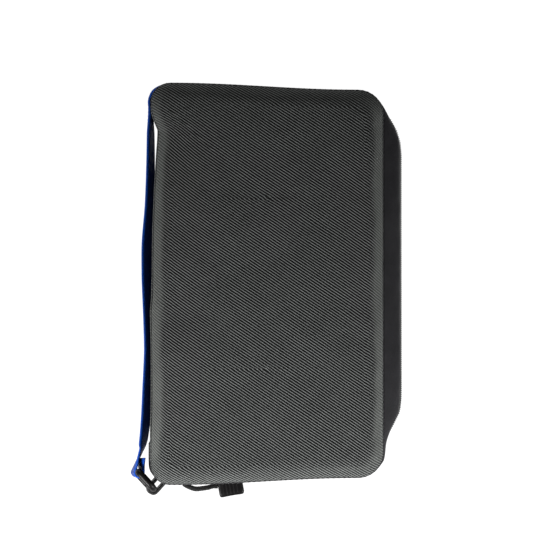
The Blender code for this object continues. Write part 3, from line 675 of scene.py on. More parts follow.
def twill_look():
    look = Look("charcoal_ribbed_twill", 0.80, Sheen_Weight=0.04, Sheen_Roughness=0.5)
    along, across, _ = look.axes(look.woven())
    drift = (look.noise(28, 1.0) - 0.5) * 0.55
    rows = along * (math.sin(RIB_ANGLE) / RIB_PITCH) + across * (math.cos(RIB_ANGLE) / RIB_PITCH) + drift
    rib = rows.ridge()
    twist = (along * 1500 - across * 900 + rows * 0.5).ridge()
    # The colour runs from near black in the valleys, which is painted shade, to light on the crests.
    crest = rib.between(0.80, 1.0)
    fluff = look.noise(420, 4.0)
    thread = crest * (0.70 + twist * 0.16 + fluff * 0.22)
    cloth = look.mix(thread, TWILL_VALLEY_SHADE, TWILL_LIGHT)
    # Painted highlight: the cloth is lightened on the crown's slopes all round, less so near the ends, for
    # the light that falls on the slopes.
    _, length, height = look.axes(look.solid())
    off_middle = height.math("ABSOLUTE", height - CASE_TOP / 2)
    ends = length.math("ABSOLUTE", length - CASE_Y).between(0.118, 0.137)
    slope = off_middle.between(0.0140, 0.0180) * (1 - off_middle.between(0.0218, 0.0243))
    crown_highlight_painted = slope * (1 - ends * 0.85) * (0.65 + look.noise(30, 3.0).between(0.3, 0.7) * 0.3)
    look.dyed(crown_highlight_painted * (0.58 + rib * 0.42), cloth, TWILL_CROWN_HIGHLIGHT, Roughness=0.92 - crest * 0.18)
    return look.relief(rib * 0.85 + twist * crest * 0.10, 0.00050)


def stitches(name, route, normals, look, length=STITCH, gap=STITCH_GAP, thread=THREAD):
    """A row of short thread stitches along route, each sunk into the cloth at both ends."""
    points, normals = np.asarray(route, float), np.asarray(normals, float)
    run = lengths(points)
    turn = circle(STITCH_SIDES)
    verts, faces = [], []
    count = int(run[-1] / (length + gap))
    pitch = run[-1] / count
    for index in range(count):
        start = index * pitch + gap / 2
        faces += faces_between(5, STITCH_SIDES, True, True, len(verts))
        for share in (0.0, 0.12, 0.5, 0.88, 1.0):
            at = start + share * (pitch - gap)
            point, normal = reached(at, run, points), reached(at, run, normals)
            ahead = reached(at + 2e-4, run, points) - point
            ahead /= max(np.linalg.norm(ahead), 1e-12)
            normal = unit(normal - ahead * np.dot(normal, ahead))
            side = np.cross(ahead, normal)
            lift = thread * (0.75 - 1.7 * abs(share - 0.5) ** 2 * 2)
            size = thread * (0.55 if share in (0.0, 1.0) else 1.0)
            verts += [point + normal * (lift + size * math.sin(angle)) + side * size * math.cos(angle)
                      for angle in turn]
    return piece(name, verts, faces, look)


def thread_look(name, dark, light):
    look = Look(name, 0.6, Sheen_Weight=0.2)
    x, y, z = look.axes(look.solid())
    strand = ((x + y + z) * 1700).ridge()
    look.dyed(strand * 0.7 + look.noise(700) * 0.3, dark, light)
    return look.relief(strand, 0.0001)


TWILL = twill_look()
BLACK_STITCH = thread_look("black_thread", (0.010, 0.010, 0.011), (0.060, 0.060, 0.063))


def seam_line(upper, inset, level, rim_at):
    """Points round a cover at a distance in from its rim, and the way out of the cloth there."""
    plan = rim_at(inset)
    out = unit(plan - rim_at(inset + 0.004))
    up = 0.55 if upper else -0.55
    rows = at_z(plan, level, upper), np.column_stack((out, np.full(len(plan), up)))
    return [np.vstack((row, row[:1])) for row in rows]


def stitch_row(name, upper, rim_at):
    angle = math.asin(STITCH_DEPTH / CROWN)
    points, normals = seam_line(upper, CROWN_WIDTH * (1 - math.cos(angle)), SEAM - STITCH_DEPTH, rim_at)
    return stitches(name, points, normals, BLACK_STITCH)


def sewn_points(item, seam_z):
    return np.abs(vertex_places(item.data)[:, 2] - seam_z) < 0.0012


upper_seam = CASE_TOP - SEAM
upper_cover = crowned("upper_cover", full_rim, True, TWILL)
padded_out(upper_cover, sewn_points(upper_cover, upper_seam), pressure=3.0, cap=0.0014)
rounded_off(upper_cover)
lumpy(upper_cover, size=0.030, height=0.0007, seam_z=upper_seam, reach=0.007)
attach(upper_cover, "back_half", "grey_twill", "back_panel")
attach(stitch_row("upper_cover_stitches", True, full_rim), "back_half", "grey_twill")


# Gussets and main zip
# Fine black nylon gussets, one sewn to each cover, run round three sides and carry a zip between
# them. Each zip half is a woven tape with a coil of nylon wire, and the two coils interlock.
ZIP_TUCK = 0.006
ZIP_CORNER_R = 0.044
ZIP_SPINE_INSET = 0.002
ZIP_SPINE_R = 0.010
ZIP_X = HALF_WIDTH + ZIP_REACH
SPINE_END = HALF_LENGTH - 0.0165
GUSSET_FOOT = SEAM + 0.0006
GUSSET_TOP = 0.0186
GUSSET_WALL = 0.0011
GUSSET_INSET = 0.0003
GUSSET_FOLDS = 0.0009
ZIP_STEP = 0.0017
TAPE_LEVELS = (0.0178, 0.0214)
TAPE_WALL = 0.0007
TAPE_INSET = 0.0006
COIL_MIDDLE = 0.02283
COIL_HALF = 0.00117
COIL_DEPTH = 0.00085
COIL_WIRE = 0.00034
COIL_PITCH = 0.0015
COIL_STEPS = 11
COIL_SIDES = 6
NYLON_DARK = (0.0045, 0.0043, 0.0052)
NYLON_LIGHT = (0.028, 0.0273, 0.0305)


def gusset_rim(share):
    """The gusset's outline, from the cover's seam at 0 to the zip at 1."""
    bulge = math.sin(share * math.pi / 2)
    tuck = share * share
    run = open_rim(-HALF_WIDTH + ZIP_SPINE_INSET * tuck, HALF_WIDTH + ZIP_REACH * bulge,
                   HALF_LENGTH - ZIP_TUCK * tuck, EDGE_BOW * (1 - tuck),
                   SPINE_R + (ZIP_SPINE_R - SPINE_R) * tuck, FORE_R + (ZIP_CORNER_R - FORE_R) * bulge)
    spine = run[0][0]
    tail = np.linspace(SPINE_END, run[-1][1], 4)[:-1]
    return np.vstack((columns(spine, -tail), run, columns(spine, tail[::-1])))


def moved_in(plan, distance):
    """An open outline moved to its inner side by distance."""
    ahead = unit(np.gradient(plan, axis=0))
    return plan + columns(-ahead[:, 1], ahead[:, 0]) * np.reshape(distance, (-1, 1))


def uneven(*place):
    return noise.noise(Vector(place))


def gusset(word, upper):
    rows, cloth = [], []
    for share in np.linspace(0, 1, 15):
        plan = gusset_rim(share)
        level = GUSSET_FOOT + (GUSSET_TOP - GUSSET_FOOT) * share
        along = lengths(plan)
        slack = math.sin(math.pi * share)
        fold = np.array([uneven(s * 26, share * 1.3, 3.0 if upper else 9.0)
                         + 0.45 * uneven(s * 90, share * 2.2, 5.0) for s in along])
        plan = moved_in(plan, GUSSET_FOLDS * slack * fold + GUSSET_INSET + ZIP_STEP * share ** 4)
        rows.append(at_z(plan, level + 0.0004 * slack * fold, upper))
        cloth.append(columns(along, level))
    # The edge at the zip is folded back on itself.
    for turn in (60, 120, 180):
        angle = math.radians(turn)
        depth = GUSSET_INSET + ZIP_STEP + GUSSET_WALL * (1 - math.cos(angle)) * 0.6
        plan = moved_in(gusset_rim(1.0), depth)
        rows.append(at_z(plan, GUSSET_TOP + GUSSET_WALL * 0.5 * math.sin(angle), upper))
        cloth.append(columns(along, GUSSET_TOP + turn * 1e-5))
    rows.append(at_z(plan, GUSSET_TOP - 0.003, upper))
    cloth.append(columns(along, GUSSET_TOP + 0.004))
    return shell(word + "_gusset_cloth", rows, NYLON, cloth, 0.0007, upper)


def shell(name, rows, look, cloth, wall, upper, offset=-1.0):
    """A sheet of cloth with a thickness, its outer face on the given rows."""
    made = grid(name, rows, look, cloth)
    if not upper:
        made.data.flip_normals()
    solid = made.modifiers.new("wall", "SOLIDIFY")
    solid.thickness = wall
    solid.offset = offset
    return settle(made)


def weave_look(name, dark, light, pitch, roughness, depth=0.00008, patches=0.25, **constants):
    """A plain weave of fine threads, over and under, with a soft unevenness of its dye."""
    look = Look(name, roughness, **constants)
    along, across, _ = look.axes(look.woven())
    warp = (along / pitch).ridge()
    weft = (across / pitch).ridge()
    cell = ((along * (math.pi / pitch)).sine() * (across * (math.pi / pitch)).sine() + 1) * 0.5
    cell = cell.between(0.2, 0.8)
    thread = warp * cell + weft * (1 - cell)
    tone = thread * 0.55 + look.noise(60, 3.0).between(0.3, 0.75) * patches + look.noise(900) * 0.15
    look.dyed(tone, dark, light, Roughness=roughness + 0.12 - thread * 0.15)
    return look.relief(thread, depth)


def herringbone_look(name, dark, light, edge):
    """Narrow woven tape: small chevrons along its length, and a lighter cord in its edge."""
    look = Look(name, 0.72, Sheen_Weight=0.04)
    along, across, _ = look.axes(look.woven())
    zig = across.math("PINGPONG", across * 1100, 1.0)
    row = (along * 1500 + zig * 0.9).ridge()
    rim = across.math("ABSOLUTE", across - edge).between(0.0002, 0.00045)
    tone = row * 0.5 + (1 - rim) * 0.5 + look.noise(300) * 0.15
    look.dyed(tone, dark, light)
    return look.relief(row * 0.6 + (1 - rim) * 0.4, 0.00012)


def rubbed_look(name, dark, light, wear, shine, grain, **constants):
    """A hard black surface that use has worn. wear holds a noise's scale and detail and the
    levels between which it rubs, shine the roughness and what rubbing adds to it."""
    look = Look(name, shine[0], **constants)
    rub = look.noise(*wear[:2]).between(*wear[2:])
    look.dyed(rub, dark, light, Roughness=shine[0] + rub * shine[1])
    return look.relief(look.noise(grain), 0.00002)


def zip_tape(word, upper):
    plan = moved_in(gusset_rim(1.0), TAPE_INSET)
    levels = np.linspace(*TAPE_LEVELS, 7)
    rows = [at_z(moved_in(plan, step), level, upper)
            for level, step in zip(levels, np.linspace(ZIP_STEP, 0, 7))]
    cloth = [columns(lengths(plan), level) for level in levels]
    return shell(word + "_main_zip_tape", rows, TAPE, cloth, TAPE_WALL, upper)


def coil(name, plan, level_at, phase):
    """A nylon coil wound along plan. level_at turns a shift across the chain into height."""
    run = lengths(plan)
    turns = int(run[-1] / COIL_PITCH)
    at = (np.arange(turns * COIL_STEPS) / COIL_STEPS + phase) * COIL_PITCH
    ahead = unit(reached(at + 1e-3, run, plan) - reached(at - 1e-3, run, plan))
    out = columns(ahead[:, 1], -ahead[:, 0])
    angle = at / COIL_PITCH * 2 * math.pi
    flat = reached(at, run, plan) + out * (COIL_DEPTH * np.cos(angle))[:, None]
    line = np.column_stack((flat, level_at(COIL_HALF * np.sin(angle))))
    points, _, across, up = directions(line)
    rows = [points + (across * math.cos(a) + up * math.sin(a)) * COIL_WIRE for a in circle(COIL_SIDES)]
    return grid(name, np.stack(rows, 1), COIL, wrap=True, ends=True)


def main_coil(word, upper):
    """The coil of one half, along the part of the outline that the zip closes."""
    def level_at(shift):
        level = COIL_MIDDLE + shift
        return CASE_TOP - level if upper else level

    return coil(word + "_main_zip_coil", slumped(gusset_rim(1.0))[5:-5], level_at, 0.0 if upper else 0.5)


NYLON = weave_look("black_fine_nylon", NYLON_DARK, NYLON_LIGHT, 0.00042, 0.58, Sheen_Weight=0.06,
                   Sheen_Roughness=0.4)
TAPE = herringbone_look("black_zip_tape", (0.004, 0.004, 0.004), (0.050, 0.052, 0.048), 0.0197)
COIL = rubbed_look("black_nylon_coil", (0.002, 0.002, 0.002), (0.010, 0.010, 0.0102),
                   (260, 3.0, 0.45, 0.8), (0.28, 0.2), 1500, Coat_Weight=0.05, Coat_Roughness=0.3)
for word, body, upper in (("front", "front_half", False), ("back", "back_half", True)):
    attach(gusset(word, upper), body, "black_cloth", word + "_gusset")
    attach(zip_tape(word, upper), body, "zip_tape", word + "_zip_tape")
    attach(main_coil(word, upper), body, "zip_coil", word + "_zip_coil")
    rim = gusset_rim(1.0)
    line = at_z(moved_in(rim, ZIP_STEP - 0.0001), GUSSET_TOP - 0.0012, upper)
    out = moved_in(rim, -1) - rim
    edge = stitches(word + "_gusset_stitches", line, np.column_stack((out, np.zeros(len(out)))),
                    BLACK_STITCH, length=0.0022, gap=0.0006, thread=0.00022)
    attach(edge, body, "black_cloth")


# Padding, boards and linings
# Under each cover's cloth lie a foam pad, a grey board that keeps it flat and a black nylon lining,
# which is sewn down all round. They show when the wallet is opened.
SKIN = 0.0012
BOARD = 0.0018
LINING = 0.0008
BOARD_INSET = 0.0030
LINING_INSET = 0.0050
LAYER_GAP = 0.0003
BOARD_Z = SEAM + LAYER_GAP
LINING_Z = BOARD_Z + BOARD + LAYER_GAP
CAVITY_Z = LINING_Z + LINING
FOAM_SLACK = 0.0034
GREY_EDGE_X = -0.008
RAMP_WIDTH = 0.024
GREY_CORNER_R = 0.002


def grey_rim(inset):
    """The front's grey panel: three sewn sides, and a long slope down to the pocket's zip."""
    return closed_rim(-HALF_WIDTH + inset, GREY_EDGE_X - inset * RAMP_WIDTH / CROWN_WIDTH,
                      HALF_LENGTH - inset, EDGE_BOW, SPINE_R - inset / 2, GREY_CORNER_R)


def slab(name, rim_at, low, high, look, upper, soft=0.0003):
    """A flat layer cut to an outline, its edges softened."""
    rows = [at_z(rim_at(inset), level, upper) for inset, level in
            ((soft, low), (0.0, low + soft), (0.0, high - soft), (soft, high))]
    made = grid(name, rows, look, [row[:, :2] for row in rows], wrap=True, ends=True)
    if upper:
        made.data.flip_normals()
    return made


def foam_pad(name, rim_at, upper):
    angles = np.radians(np.linspace(0, 90, 7))
    rows = [at_z(rim_at(SKIN + 0.0012 + (CROWN_WIDTH - SKIN) * (1 - math.cos(a))),
                 SEAM - (CROWN - FOAM_SLACK) * math.sin(a), upper) for a in angles]
    made = grid(name, rows, FOAM, [row[:, :2] for row in rows], wrap=True, ends=True)
    if not upper:
        made.data.flip_normals()
    return made


def foam_look():
    look = Look("grey_foam", 0.95)
    cells = look.node("TexVoronoi", {}, {"Vector": look.solid(), "Scale": 900.0})
    look.dyed(cells + look.noise(40) * 0.2, (0.20, 0.20, 0.21), (0.42, 0.42, 0.43))
    return look.relief(cells, 0.0002)


def board_look():
    look = Look("grey_board", 0.85)
    fibres = look.noise(300, 6.0, roughness=0.7)
    plies = (look.axes(look.solid())[2] * 2200).ridge()
    look.dyed(fibres * 0.7 + plies * 0.3, (0.16, 0.14, 0.11), (0.33, 0.30, 0.25))
    return look.relief(fibres, 0.0001)


FOAM = foam_look()
CARD = board_look()
LINED = weave_look("black_lining_nylon", (0.011, 0.011, 0.012), (0.045, 0.045, 0.048), 0.00055, 0.6,
                   Sheen_Weight=0.2)
for word, body, upper, rim_at in (("front", "front_half", False, grey_rim),
                                  ("back", "back_half", True, full_rim)):
    attach(foam_pad(word + "_foam", rim_at, upper), body, "foam", word + "_pad")
    board = slab(word + "_stiffener", lambda inset: full_rim(inset + BOARD_INSET), BOARD_Z,
                 BOARD_Z + BOARD, CARD, upper)
    attach(board, body, "board", word + "_board")
    lining = slab(word + "_inner_lining", lambda inset: full_rim(inset + LINING_INSET), LINING_Z,
                  LINING_Z + LINING, LINED, upper)
    attach(lining, body, "lining", word + "_lining")
    seam = at_z(full_rim(LINING_INSET + 0.0035), LINING_Z + LINING, upper)
    seam = np.vstack((seam, seam[:1]))
    row = stitches(word + "_lining_stitches", seam, seam * 0 + (0, 0, -1 if upper else 1), BLACK_STITCH)
    attach(row, body, "lining")


# Front cover
# The spine side of the front is the same padded twill as the back. It slopes down to a sunk zip,
# and beyond the zip a padded royal blue panel forms a flat pocket with a plain black oval plate.
POCKET_X = 0.005
POCKET_RIM = 0.0075
POCKET_END_RIM = 0.0085
POCKET_CORNER_R = 0.024
POCKET_PANEL = 0.0045
POCKET_EDGE = 0.006
POCKET_WALL = 0.0012
BASE_INSET = 0.0034
BASE_LEVELS = (0.0074, 0.0087)
CLOTH_CLEAR = 0.0002
BADGE_SIZE = (0.024, 0.046)
BADGE_PLACE = (HALF_WIDTH - 0.0435, 0.030)
BADGE_DEPTH = 0.0010
BLUE_DARK = (0.004, 0.024, 0.200)
BLUE_LIGHT = (0.022, 0.110, 0.640)


def pocket_rim(inset):
    return closed_rim(POCKET_X + min(inset, POCKET_EDGE / 2), HALF_WIDTH - POCKET_RIM - inset,
                      HALF_LENGTH - POCKET_END_RIM - inset, EDGE_BOW, 0.003, POCKET_CORNER_R - inset)


def above_table(rest, moves):
    """Moves that leave the cloth on the table and not in it."""
    moves[:, 2] = np.maximum(moves[:, 2], CLOTH_CLEAR - rest[:, 2])
    return moves


def pressed_round_badge(item):
    """Draw the cloth in under the oval plate and round its edge."""
    for vertex in item.data.vertices:
        x = (vertex.co.x - BADGE_PLACE[0]) / (BADGE_SIZE[0] / 2)
        y = (vertex.co.y - CASE_Y - BADGE_PLACE[1]) / (BADGE_SIZE[1] / 2)
        away = math.hypot(x, y)
        share = min(1.0, max(0.0, (1.42 - away) / 0.36))
        if vertex.co.z < 0.004:
            vertex.co.z = max(vertex.co.z, 0.0014 * eased(share))
    return item


def badge():
    """A moulded oval plate with a raised rim, a shallow dished face and nothing on it."""
    turn = circle(72)
    rows = []
    for size, level in ((0.99, BADGE_DEPTH), (1.0, 0.0007), (0.985, 0.00035), (0.95, 0.0002),
                        (0.905, 0.00024), (0.87, 0.00042), (0.84, 0.00050), (0.5, 0.00042),
                        (0.2, 0.00038)):
        rows.append(columns(BADGE_PLACE[0] + BADGE_SIZE[0] / 2 * size * np.cos(turn),
                            BADGE_PLACE[1] + BADGE_SIZE[1] / 2 * size * np.sin(turn), level))
    made = grid("oval_plate", rows, MOULDED, wrap=True, ends=True)
    made.data.flip_normals()
    return made


def pocket_wall():
    rows, cloth = [], []
    stand_off = POCKET_WALL + 0.0004
    low_z, high_z = POCKET_PANEL * 0.6, SEAM + 0.0004
    x_low, half_low = HALF_WIDTH - POCKET_RIM + stand_off, HALF_LENGTH - POCKET_END_RIM + stand_off
    for share in np.linspace(0, 1, 9):
        run = open_rim(POCKET_X, x_low + (HALF_WIDTH - 0.0008 - x_low) * share,
                       half_low + (HALF_LENGTH - 0.0008 - half_low) * share, EDGE_BOW, 0.0005,
                       POCKET_CORNER_R + (FORE_R - POCKET_CORNER_R) * share)
        run = run[CORNER_STEPS:-CORNER_STEPS]
        level = low_z + (high_z - low_z) * (1 - math.cos(share * math.pi / 2))
        rows.append(at_z(run, level, False))
        cloth.append(columns(lengths(run), share * 0.009))
    return shell("pocket_wall_cloth", rows, NYLON, cloth, POCKET_WALL, False)


def base_rim(inset):
    return closed_rim(GREY_EDGE_X + LAYER_GAP + inset, HALF_WIDTH - BASE_INSET - inset,
                      HALF_LENGTH - BASE_INSET - inset, EDGE_BOW, 0.001, FORE_R)


ROYAL = weave_look("royal_blue_nylon", BLUE_DARK, BLUE_LIGHT, 0.00060, 0.55, depth=0.00012,
                   Sheen_Weight=0.3, Sheen_Roughness=0.35)
BLUE_STITCH = thread_look("blue_thread", (0.005, 0.030, 0.240), (0.030, 0.130, 0.700))
grey_front = crowned("front_cover", grey_rim, False, TWILL)
padded_out(grey_front, sewn_points(grey_front, SEAM), pressure=3.0, cap=0.0020, shift=above_table)
rounded_off(grey_front)
attach(grey_front, "front_half", "grey_twill", "front_panel")
attach(stitch_row("front_cover_stitches", False, grey_rim), "front_half", "grey_twill")

pocket = crowned("pocket_cloth", pocket_rim, False, ROYAL, POCKET_PANEL, POCKET_EDGE, POCKET_PANEL)
padded_out(pocket, sewn_points(pocket, POCKET_PANEL), pressure=2.0, cap=0.0012, shift=above_table)
rounded_off(pocket)
pressed_round_badge(pocket)
attach(pocket, "front_half", "blue_cloth", "pocket_panel")
attach(badge(), "front_half", "black_plastic", "badge")
attach(pocket_wall(), "front_half", "black_cloth", "pocket_wall")
backing = slab("pocket_backing", base_rim, *BASE_LEVELS, LINED, False)
attach(backing, "front_half", "black_cloth", "pocket_base")
angle = math.asin(0.4)
points, normals = seam_line(False, POCKET_EDGE * (1 - math.cos(angle)), POCKET_PANEL * 0.6, pocket_rim)
attach(stitches("pocket_stitches", points, normals, BLUE_STITCH), "front_half", "blue_cloth")


# Pocket zip
# A straight, lighter zip sunk between the grey slope and the blue panel: two tapes, two coils and
# a slider near the upper end, whose pull lies in the groove.
POCKET_ZIP_Z = 0.0052
POCKET_ZIP_HALF = HALF_LENGTH - 0.014
POCKET_COIL_OFF = 0.00118
slider_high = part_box("pocket_slider")[1]


def stood_up(item):
    """Swap X and Z in a piece that was made on its side."""
    for vertex in item.data.vertices:
        vertex.co = vertex.co.zyx
    return item


for word, node, sign in (("grey", "pocket_tape_grey", -1), ("blue", "pocket_tape_blue", 1)):
    low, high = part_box(node)
    rows, cloth = [], []
    inner, outer = (high.x, low.x) if sign < 0 else (low.x, high.x)
    along = np.linspace(-POCKET_ZIP_HALF, POCKET_ZIP_HALF, 131)
    for share in np.linspace(0, 1, 7):
        x = outer + (inner - outer) * share
        wave = np.array([0.00012 * uneven(a * 60, share, sign) for a in along])
        rows.append(columns(x, along, POCKET_ZIP_Z + wave))
        cloth.append(columns(along, 0.0197 + 0.0012 * share))
    tape = shell("pocket_zip_tape_" + word, rows, TAPE, cloth, 0.0006, sign < 0)
    attach(tape, "front_half", "zip_tape", node)
    coil_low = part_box("pocket_coil_" + word)[0]
    reach = np.arange(coil_low.y - CASE_Y, slider_high.y - CASE_Y + 0.002, 0.002)
    plan = columns(POCKET_ZIP_Z, reach)
    wound = coil("pocket_zip_coil_" + word, plan, lambda shift: sign * (POCKET_COIL_OFF + shift),
                 0.25 + 0.25 * sign)
    attach(stood_up(wound), "front_half", "zip_coil", "pocket_coil_" + word)


# Spine
# A twill strip joins the covers along the closed side. Its cloth runs on over both folds, where it
# is sewn to the covers, and a black lining closes it inside.
SPINE_WALL = 0.0022
FOLD_REACH = 0.0022


def spine_panel():
    """The strip between the folds: its outer face swells a little between the strap's seams."""
    rows, cloth = [], []
    low, high = SEAM + LAYER_GAP, CASE_TOP - SEAM - LAYER_GAP
    section = [(0.0, level, 1.0) for level in np.linspace(low, high, 15)]
    section += [(SPINE_WALL, level, 0.0) for level in np.linspace(high, low, 5)]
    x, levels, out = np.array(section).T
    middle = np.sin(np.pi * (levels - low) / (high - low))
    edge = 0.0005 * (1 - np.clip(np.minimum(levels - low, high - levels) / 0.0012, 0, 1)) ** 2
    for y in np.linspace(-SPINE_END, SPINE_END, 130):
        free = min(1.0, max(0.0, (SPINE_END - 0.03 - abs(y)) / 0.02))
        lumps = np.array([uneven(y * 30, level * 60, 4) for level in levels])
        swell = 0.0006 * middle * free + 0.0002 * lumps
        rows.append(at_z(columns(x - HALF_WIDTH + (edge - swell * free) * out, y), levels, False))
        cloth.append(columns(levels - CASE_TOP / 2 - HALF_WIDTH - 0.03, y))
    made = grid("spine_cloth", rows, TWILL, cloth, wrap=True, ends=True)
    made.data.flip_normals()
    return made


def fold(name, upper):
    """The cloth across one fold, from the cover's edge to the spine strip."""
    rows, cloth = [], []
    y = np.linspace(-SPINE_END, SPINE_END, 120)
    for share in np.linspace(-1, 1, 9):
        level = SEAM - FOLD_REACH * share
        out = 0.00045 * (1 - share * share) ** 0.5
        x = -HALF_WIDTH + 0.0003 * max(0.0, share) - out - 0.0001
        rows.append(at_z(columns(x, y), level, upper))
        cloth.append(columns(x + level, y))
    return shell(name, rows, TWILL, cloth, 0.0005, not upper)


attach(spine_panel(), "spine", "grey_twill", "spine_panel")
spine_low, spine_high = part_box("spine_lining")


def lining_rim(inset):
    y = np.linspace(spine_low.y - CASE_Y, spine_high.y - CASE_Y, 60)
    low = columns(spine_low.z + inset, y)
    high = columns(spine_high.z - inset, y)
    return np.vstack((low[:1], high, low[:0:-1]))


inner = slab("spine_inner_lining", lining_rim, spine_low.x, spine_high.x, LINED, False, soft=0.0001)
inner.data.flip_normals()
attach(follow(stood_up(inner)), "spine", "lining", "spine_lining")
for name, upper, pair in (("lower_fold", False, ("front_half", "spine")),
                          ("upper_fold", True, ("spine", "back_half"))):
    cloth = fold(name, upper)
    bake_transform(cloth)


# Carrying strap
# Royal blue ribbed webbing with bound edges. It is sewn down round the upper spine corner, stands
# off the spine as a handle, and its lower end is folded round the ring's bar and sewn to itself.
STRAP_WIDTH = 0.018
STRAP_THICK = 0.0018
STRAP_Z = CASE_TOP / 2 - 0.0005
STRAP_SEAM = 0.020
STRAP_LEANS = ((-0.150, -14), (-0.138, -14), (-0.131, -19), (-0.1265, -22), (-0.1230, -10),
               (-0.1195, 6), (-0.1155, 14), (-0.100, 17), (-0.076, 14), (-0.048, 12), (-0.022, 15),
               (0.004, 19), (0.030, 18), (0.058, 15), (0.086, 13), (0.110, 10), (0.120, 4), (0.128, 0))
STRAP_BOW = ((0.675, 0.0001), (0.455, 0.0009), (0.235, 0.0028), (0.031, 0.0027), (-0.173, 0.0021),
             (-0.376, 0.0018), (-0.596, 0.0028), (-0.784, 0.0037), (-0.933, 0.0058))
RING_ROD = 0.0038
RING_RADIUS = RING_ROD / 2 * 1.35
RING_BEND = 0.0022
RING_DEPTH = 0.0200
RING_HEADING = math.radians(-47.6)
RING_LOOP_R = RING_ROD / 2 + LAYER_GAP + STRAP_THICK / 2
RING_BAR = Vector((-(ZIP_X + 0.0012) + RING_LOOP_R + STRAP_THICK / 2, 0.0065 - HALF_LENGTH))
RING_AXIS = Vector((math.cos(RING_HEADING), math.sin(RING_HEADING)))
RING_APEX = RING_BAR + RING_AXIS * (RING_DEPTH - RING_ROD)
WEB_DARK = (0.0004, 0.0030, 0.060)
WEB_LIGHT = (0.006, 0.080, 0.480)
RING_LEAN = math.radians(13)
LEAN_WAY = np.array((-0.92, -0.39))


def polar(centre, radius, degrees):
    return centre + Vector((math.cos(math.radians(degrees)), math.sin(math.radians(degrees)))) * radius


def strap_route():
    """From the end that is pressed into the cover's upper corner, along the spine, and round the
    ring's bar back to its own inner side."""
    half = STRAP_THICK / 2
    centre = Vector((-HALF_WIDTH + SPINE_R, HALF_LENGTH - SPINE_R))
    around = [polar(centre, SPINE_R + LAYER_GAP * 3 + half - max(0, 145 - a) * 5e-5, a)
              for a in range(100, 176, 15)]
    near = -HALF_WIDTH - LAYER_GAP - half
    bow = [Vector((near, SPINE_END - 0.003)), Vector((near, SPINE_END - STRAP_SEAM + 0.002))]
    bow += [Vector((near - off, share * SPINE_END)) for share, off in STRAP_BOW]
    loop = [polar(RING_BAR, RING_LOOP_R, a) for a in range(180, 361, 20)]
    back = [Vector((RING_BAR.x + RING_LOOP_R - 0.0004, RING_BAR.y + 0.005)),
            Vector((RING_BAR.x + 0.0028, RING_BAR.y + 0.0105))]
    return flowing(around + bow, 0.002) + flowing([*loop, *back], 0.0010)


def lean_at(y):
    """How far the strap leans out at y: its top edge out along the handle, its foot at the ring."""
    places, leans = zip(*STRAP_LEANS)
    return math.radians(np.interp(y, places, leans))


def ribbon(name, route, width, thick, lean, look, bound):
    """Webbing on edge along a route, its cross-section rounded and thicker at bound edges.

    lean gives the angle at which its top edge stands out from the case at y.
    """
    points = np.array([(p.x, p.y) for p in route])
    run = lengths(points)
    ahead = unit(np.gradient(points, axis=0))
    section = []
    for face in (1, -1):
        for share in np.linspace(-1, 1, 15)[::face]:
            edge = max(0.0, abs(share) - 0.86) / 0.14
            full = (1 - edge ** 3) ** 0.5 if edge < 1 else 0.25
            section.append((share, face * full * (1 + bound * (abs(share) > 0.80))))
    across, side = np.array(section).T * [[width / 2], [thick / 2]]
    rows, cloth = [], []
    for point, out, at in zip(points, columns(ahead[:, 1], -ahead[:, 0]), run):
        tilt = lean(point[1])
        plan = point + LEAN_WAY * (across * math.sin(tilt))[:, None] + out * side[:, None]
        rows.append(np.column_stack((plan, STRAP_Z + across * math.cos(tilt))))
        cloth.append(columns(at, across))
    return grid(name, rows, look, cloth, wrap=True, ends=True)


def webbing_look(name, dark, light, edge_at, sheen):
    """Ribbed webbing: fine cross ribs in a chevron, and a rounder cord in each edge, coloured lighter as a
    painted highlight.
    """
    look = Look(name, 0.55, Sheen_Weight=sheen, Sheen_Roughness=0.35)
    along, across, _ = look.axes(look.woven())
    away = across.math("ABSOLUTE", across)
    rib = (along * 950 + away * 500).ridge()
    thread = (along * 950 - away * 2300).ridge()
    edge = away.between(edge_at - 0.0004, edge_at)
    # The edge term makes both bound edges lighter: a painted highlight for the lit top edge.
    tone = 0.14 + rib * 0.28 + thread * 0.08 + edge * 0.36 + look.noise(220, 3.0) * 0.10
    look.dyed(tone, dark, light, Roughness=0.62 - rib * 0.14)
    return look.relief(rib * 0.7 + thread * 0.2 + edge * 0.3, 0.00022)


def strap_stitches(name, centre_y, length, height):
    """A sewn box with a cross in it, on the outer face of the strap."""
    line = np.array(sorted((point.y, point.x) for point in strap_route() if point.y > 0.08))
    low, high = STRAP_Z - height / 2, STRAP_Z + height / 2
    near, far = centre_y - length / 2, centre_y + length / 2
    path = [(near, low), (far, low), (far, high), (near, high), (near, low), (far, high), (far, low),
            (near, high)]
    route = []
    for (y0, z0), (y1, z1) in zip(path, path[1:]):
        for share in np.linspace(0, 1, 12, endpoint=False):
            y, z = y0 + (y1 - y0) * share, z0 + (z1 - z0) * share
            x = np.interp(y, line[:, 0], line[:, 1]) - STRAP_THICK / 2 - (z - STRAP_Z) * math.tan(lean_at(y))
            route.append((x, y, z))
    return stitches(name, route, np.tile((-1.0, 0.0, 0.0), (len(route), 1)), BLUE_STITCH,
                    length=0.0021, gap=0.0006, thread=0.00026)


WEBBING = webbing_look("royal_blue_webbing", WEB_DARK, WEB_LIGHT, 0.0076, 0.0)
strap = ribbon("carrying_strap", strap_route(), STRAP_WIDTH, STRAP_THICK, lean_at, WEBBING, 0.12)
attach(strap, "spine", "blue_webbing", "carry_strap")
box_stitch = strap_stitches("strap_stitches", SPINE_END - 0.0060, length=0.011, height=0.0125)
attach(box_stitch, "spine", "blue_webbing")


# Ring and its loop
# A black moulded D-ring stands on edge at the lower spine corner. Its straight bar lies in the
# strap, and a short black webbing loop, sewn round the corner, holds its bow.
TAB_WIDTH = 0.010
TAB_THICK = 0.0020
TAB_BEND_Y = -0.136
TAB_BEND = 0.006
TAB_LOOP_R = RING_ROD / 2 + LAYER_GAP + TAB_THICK / 2


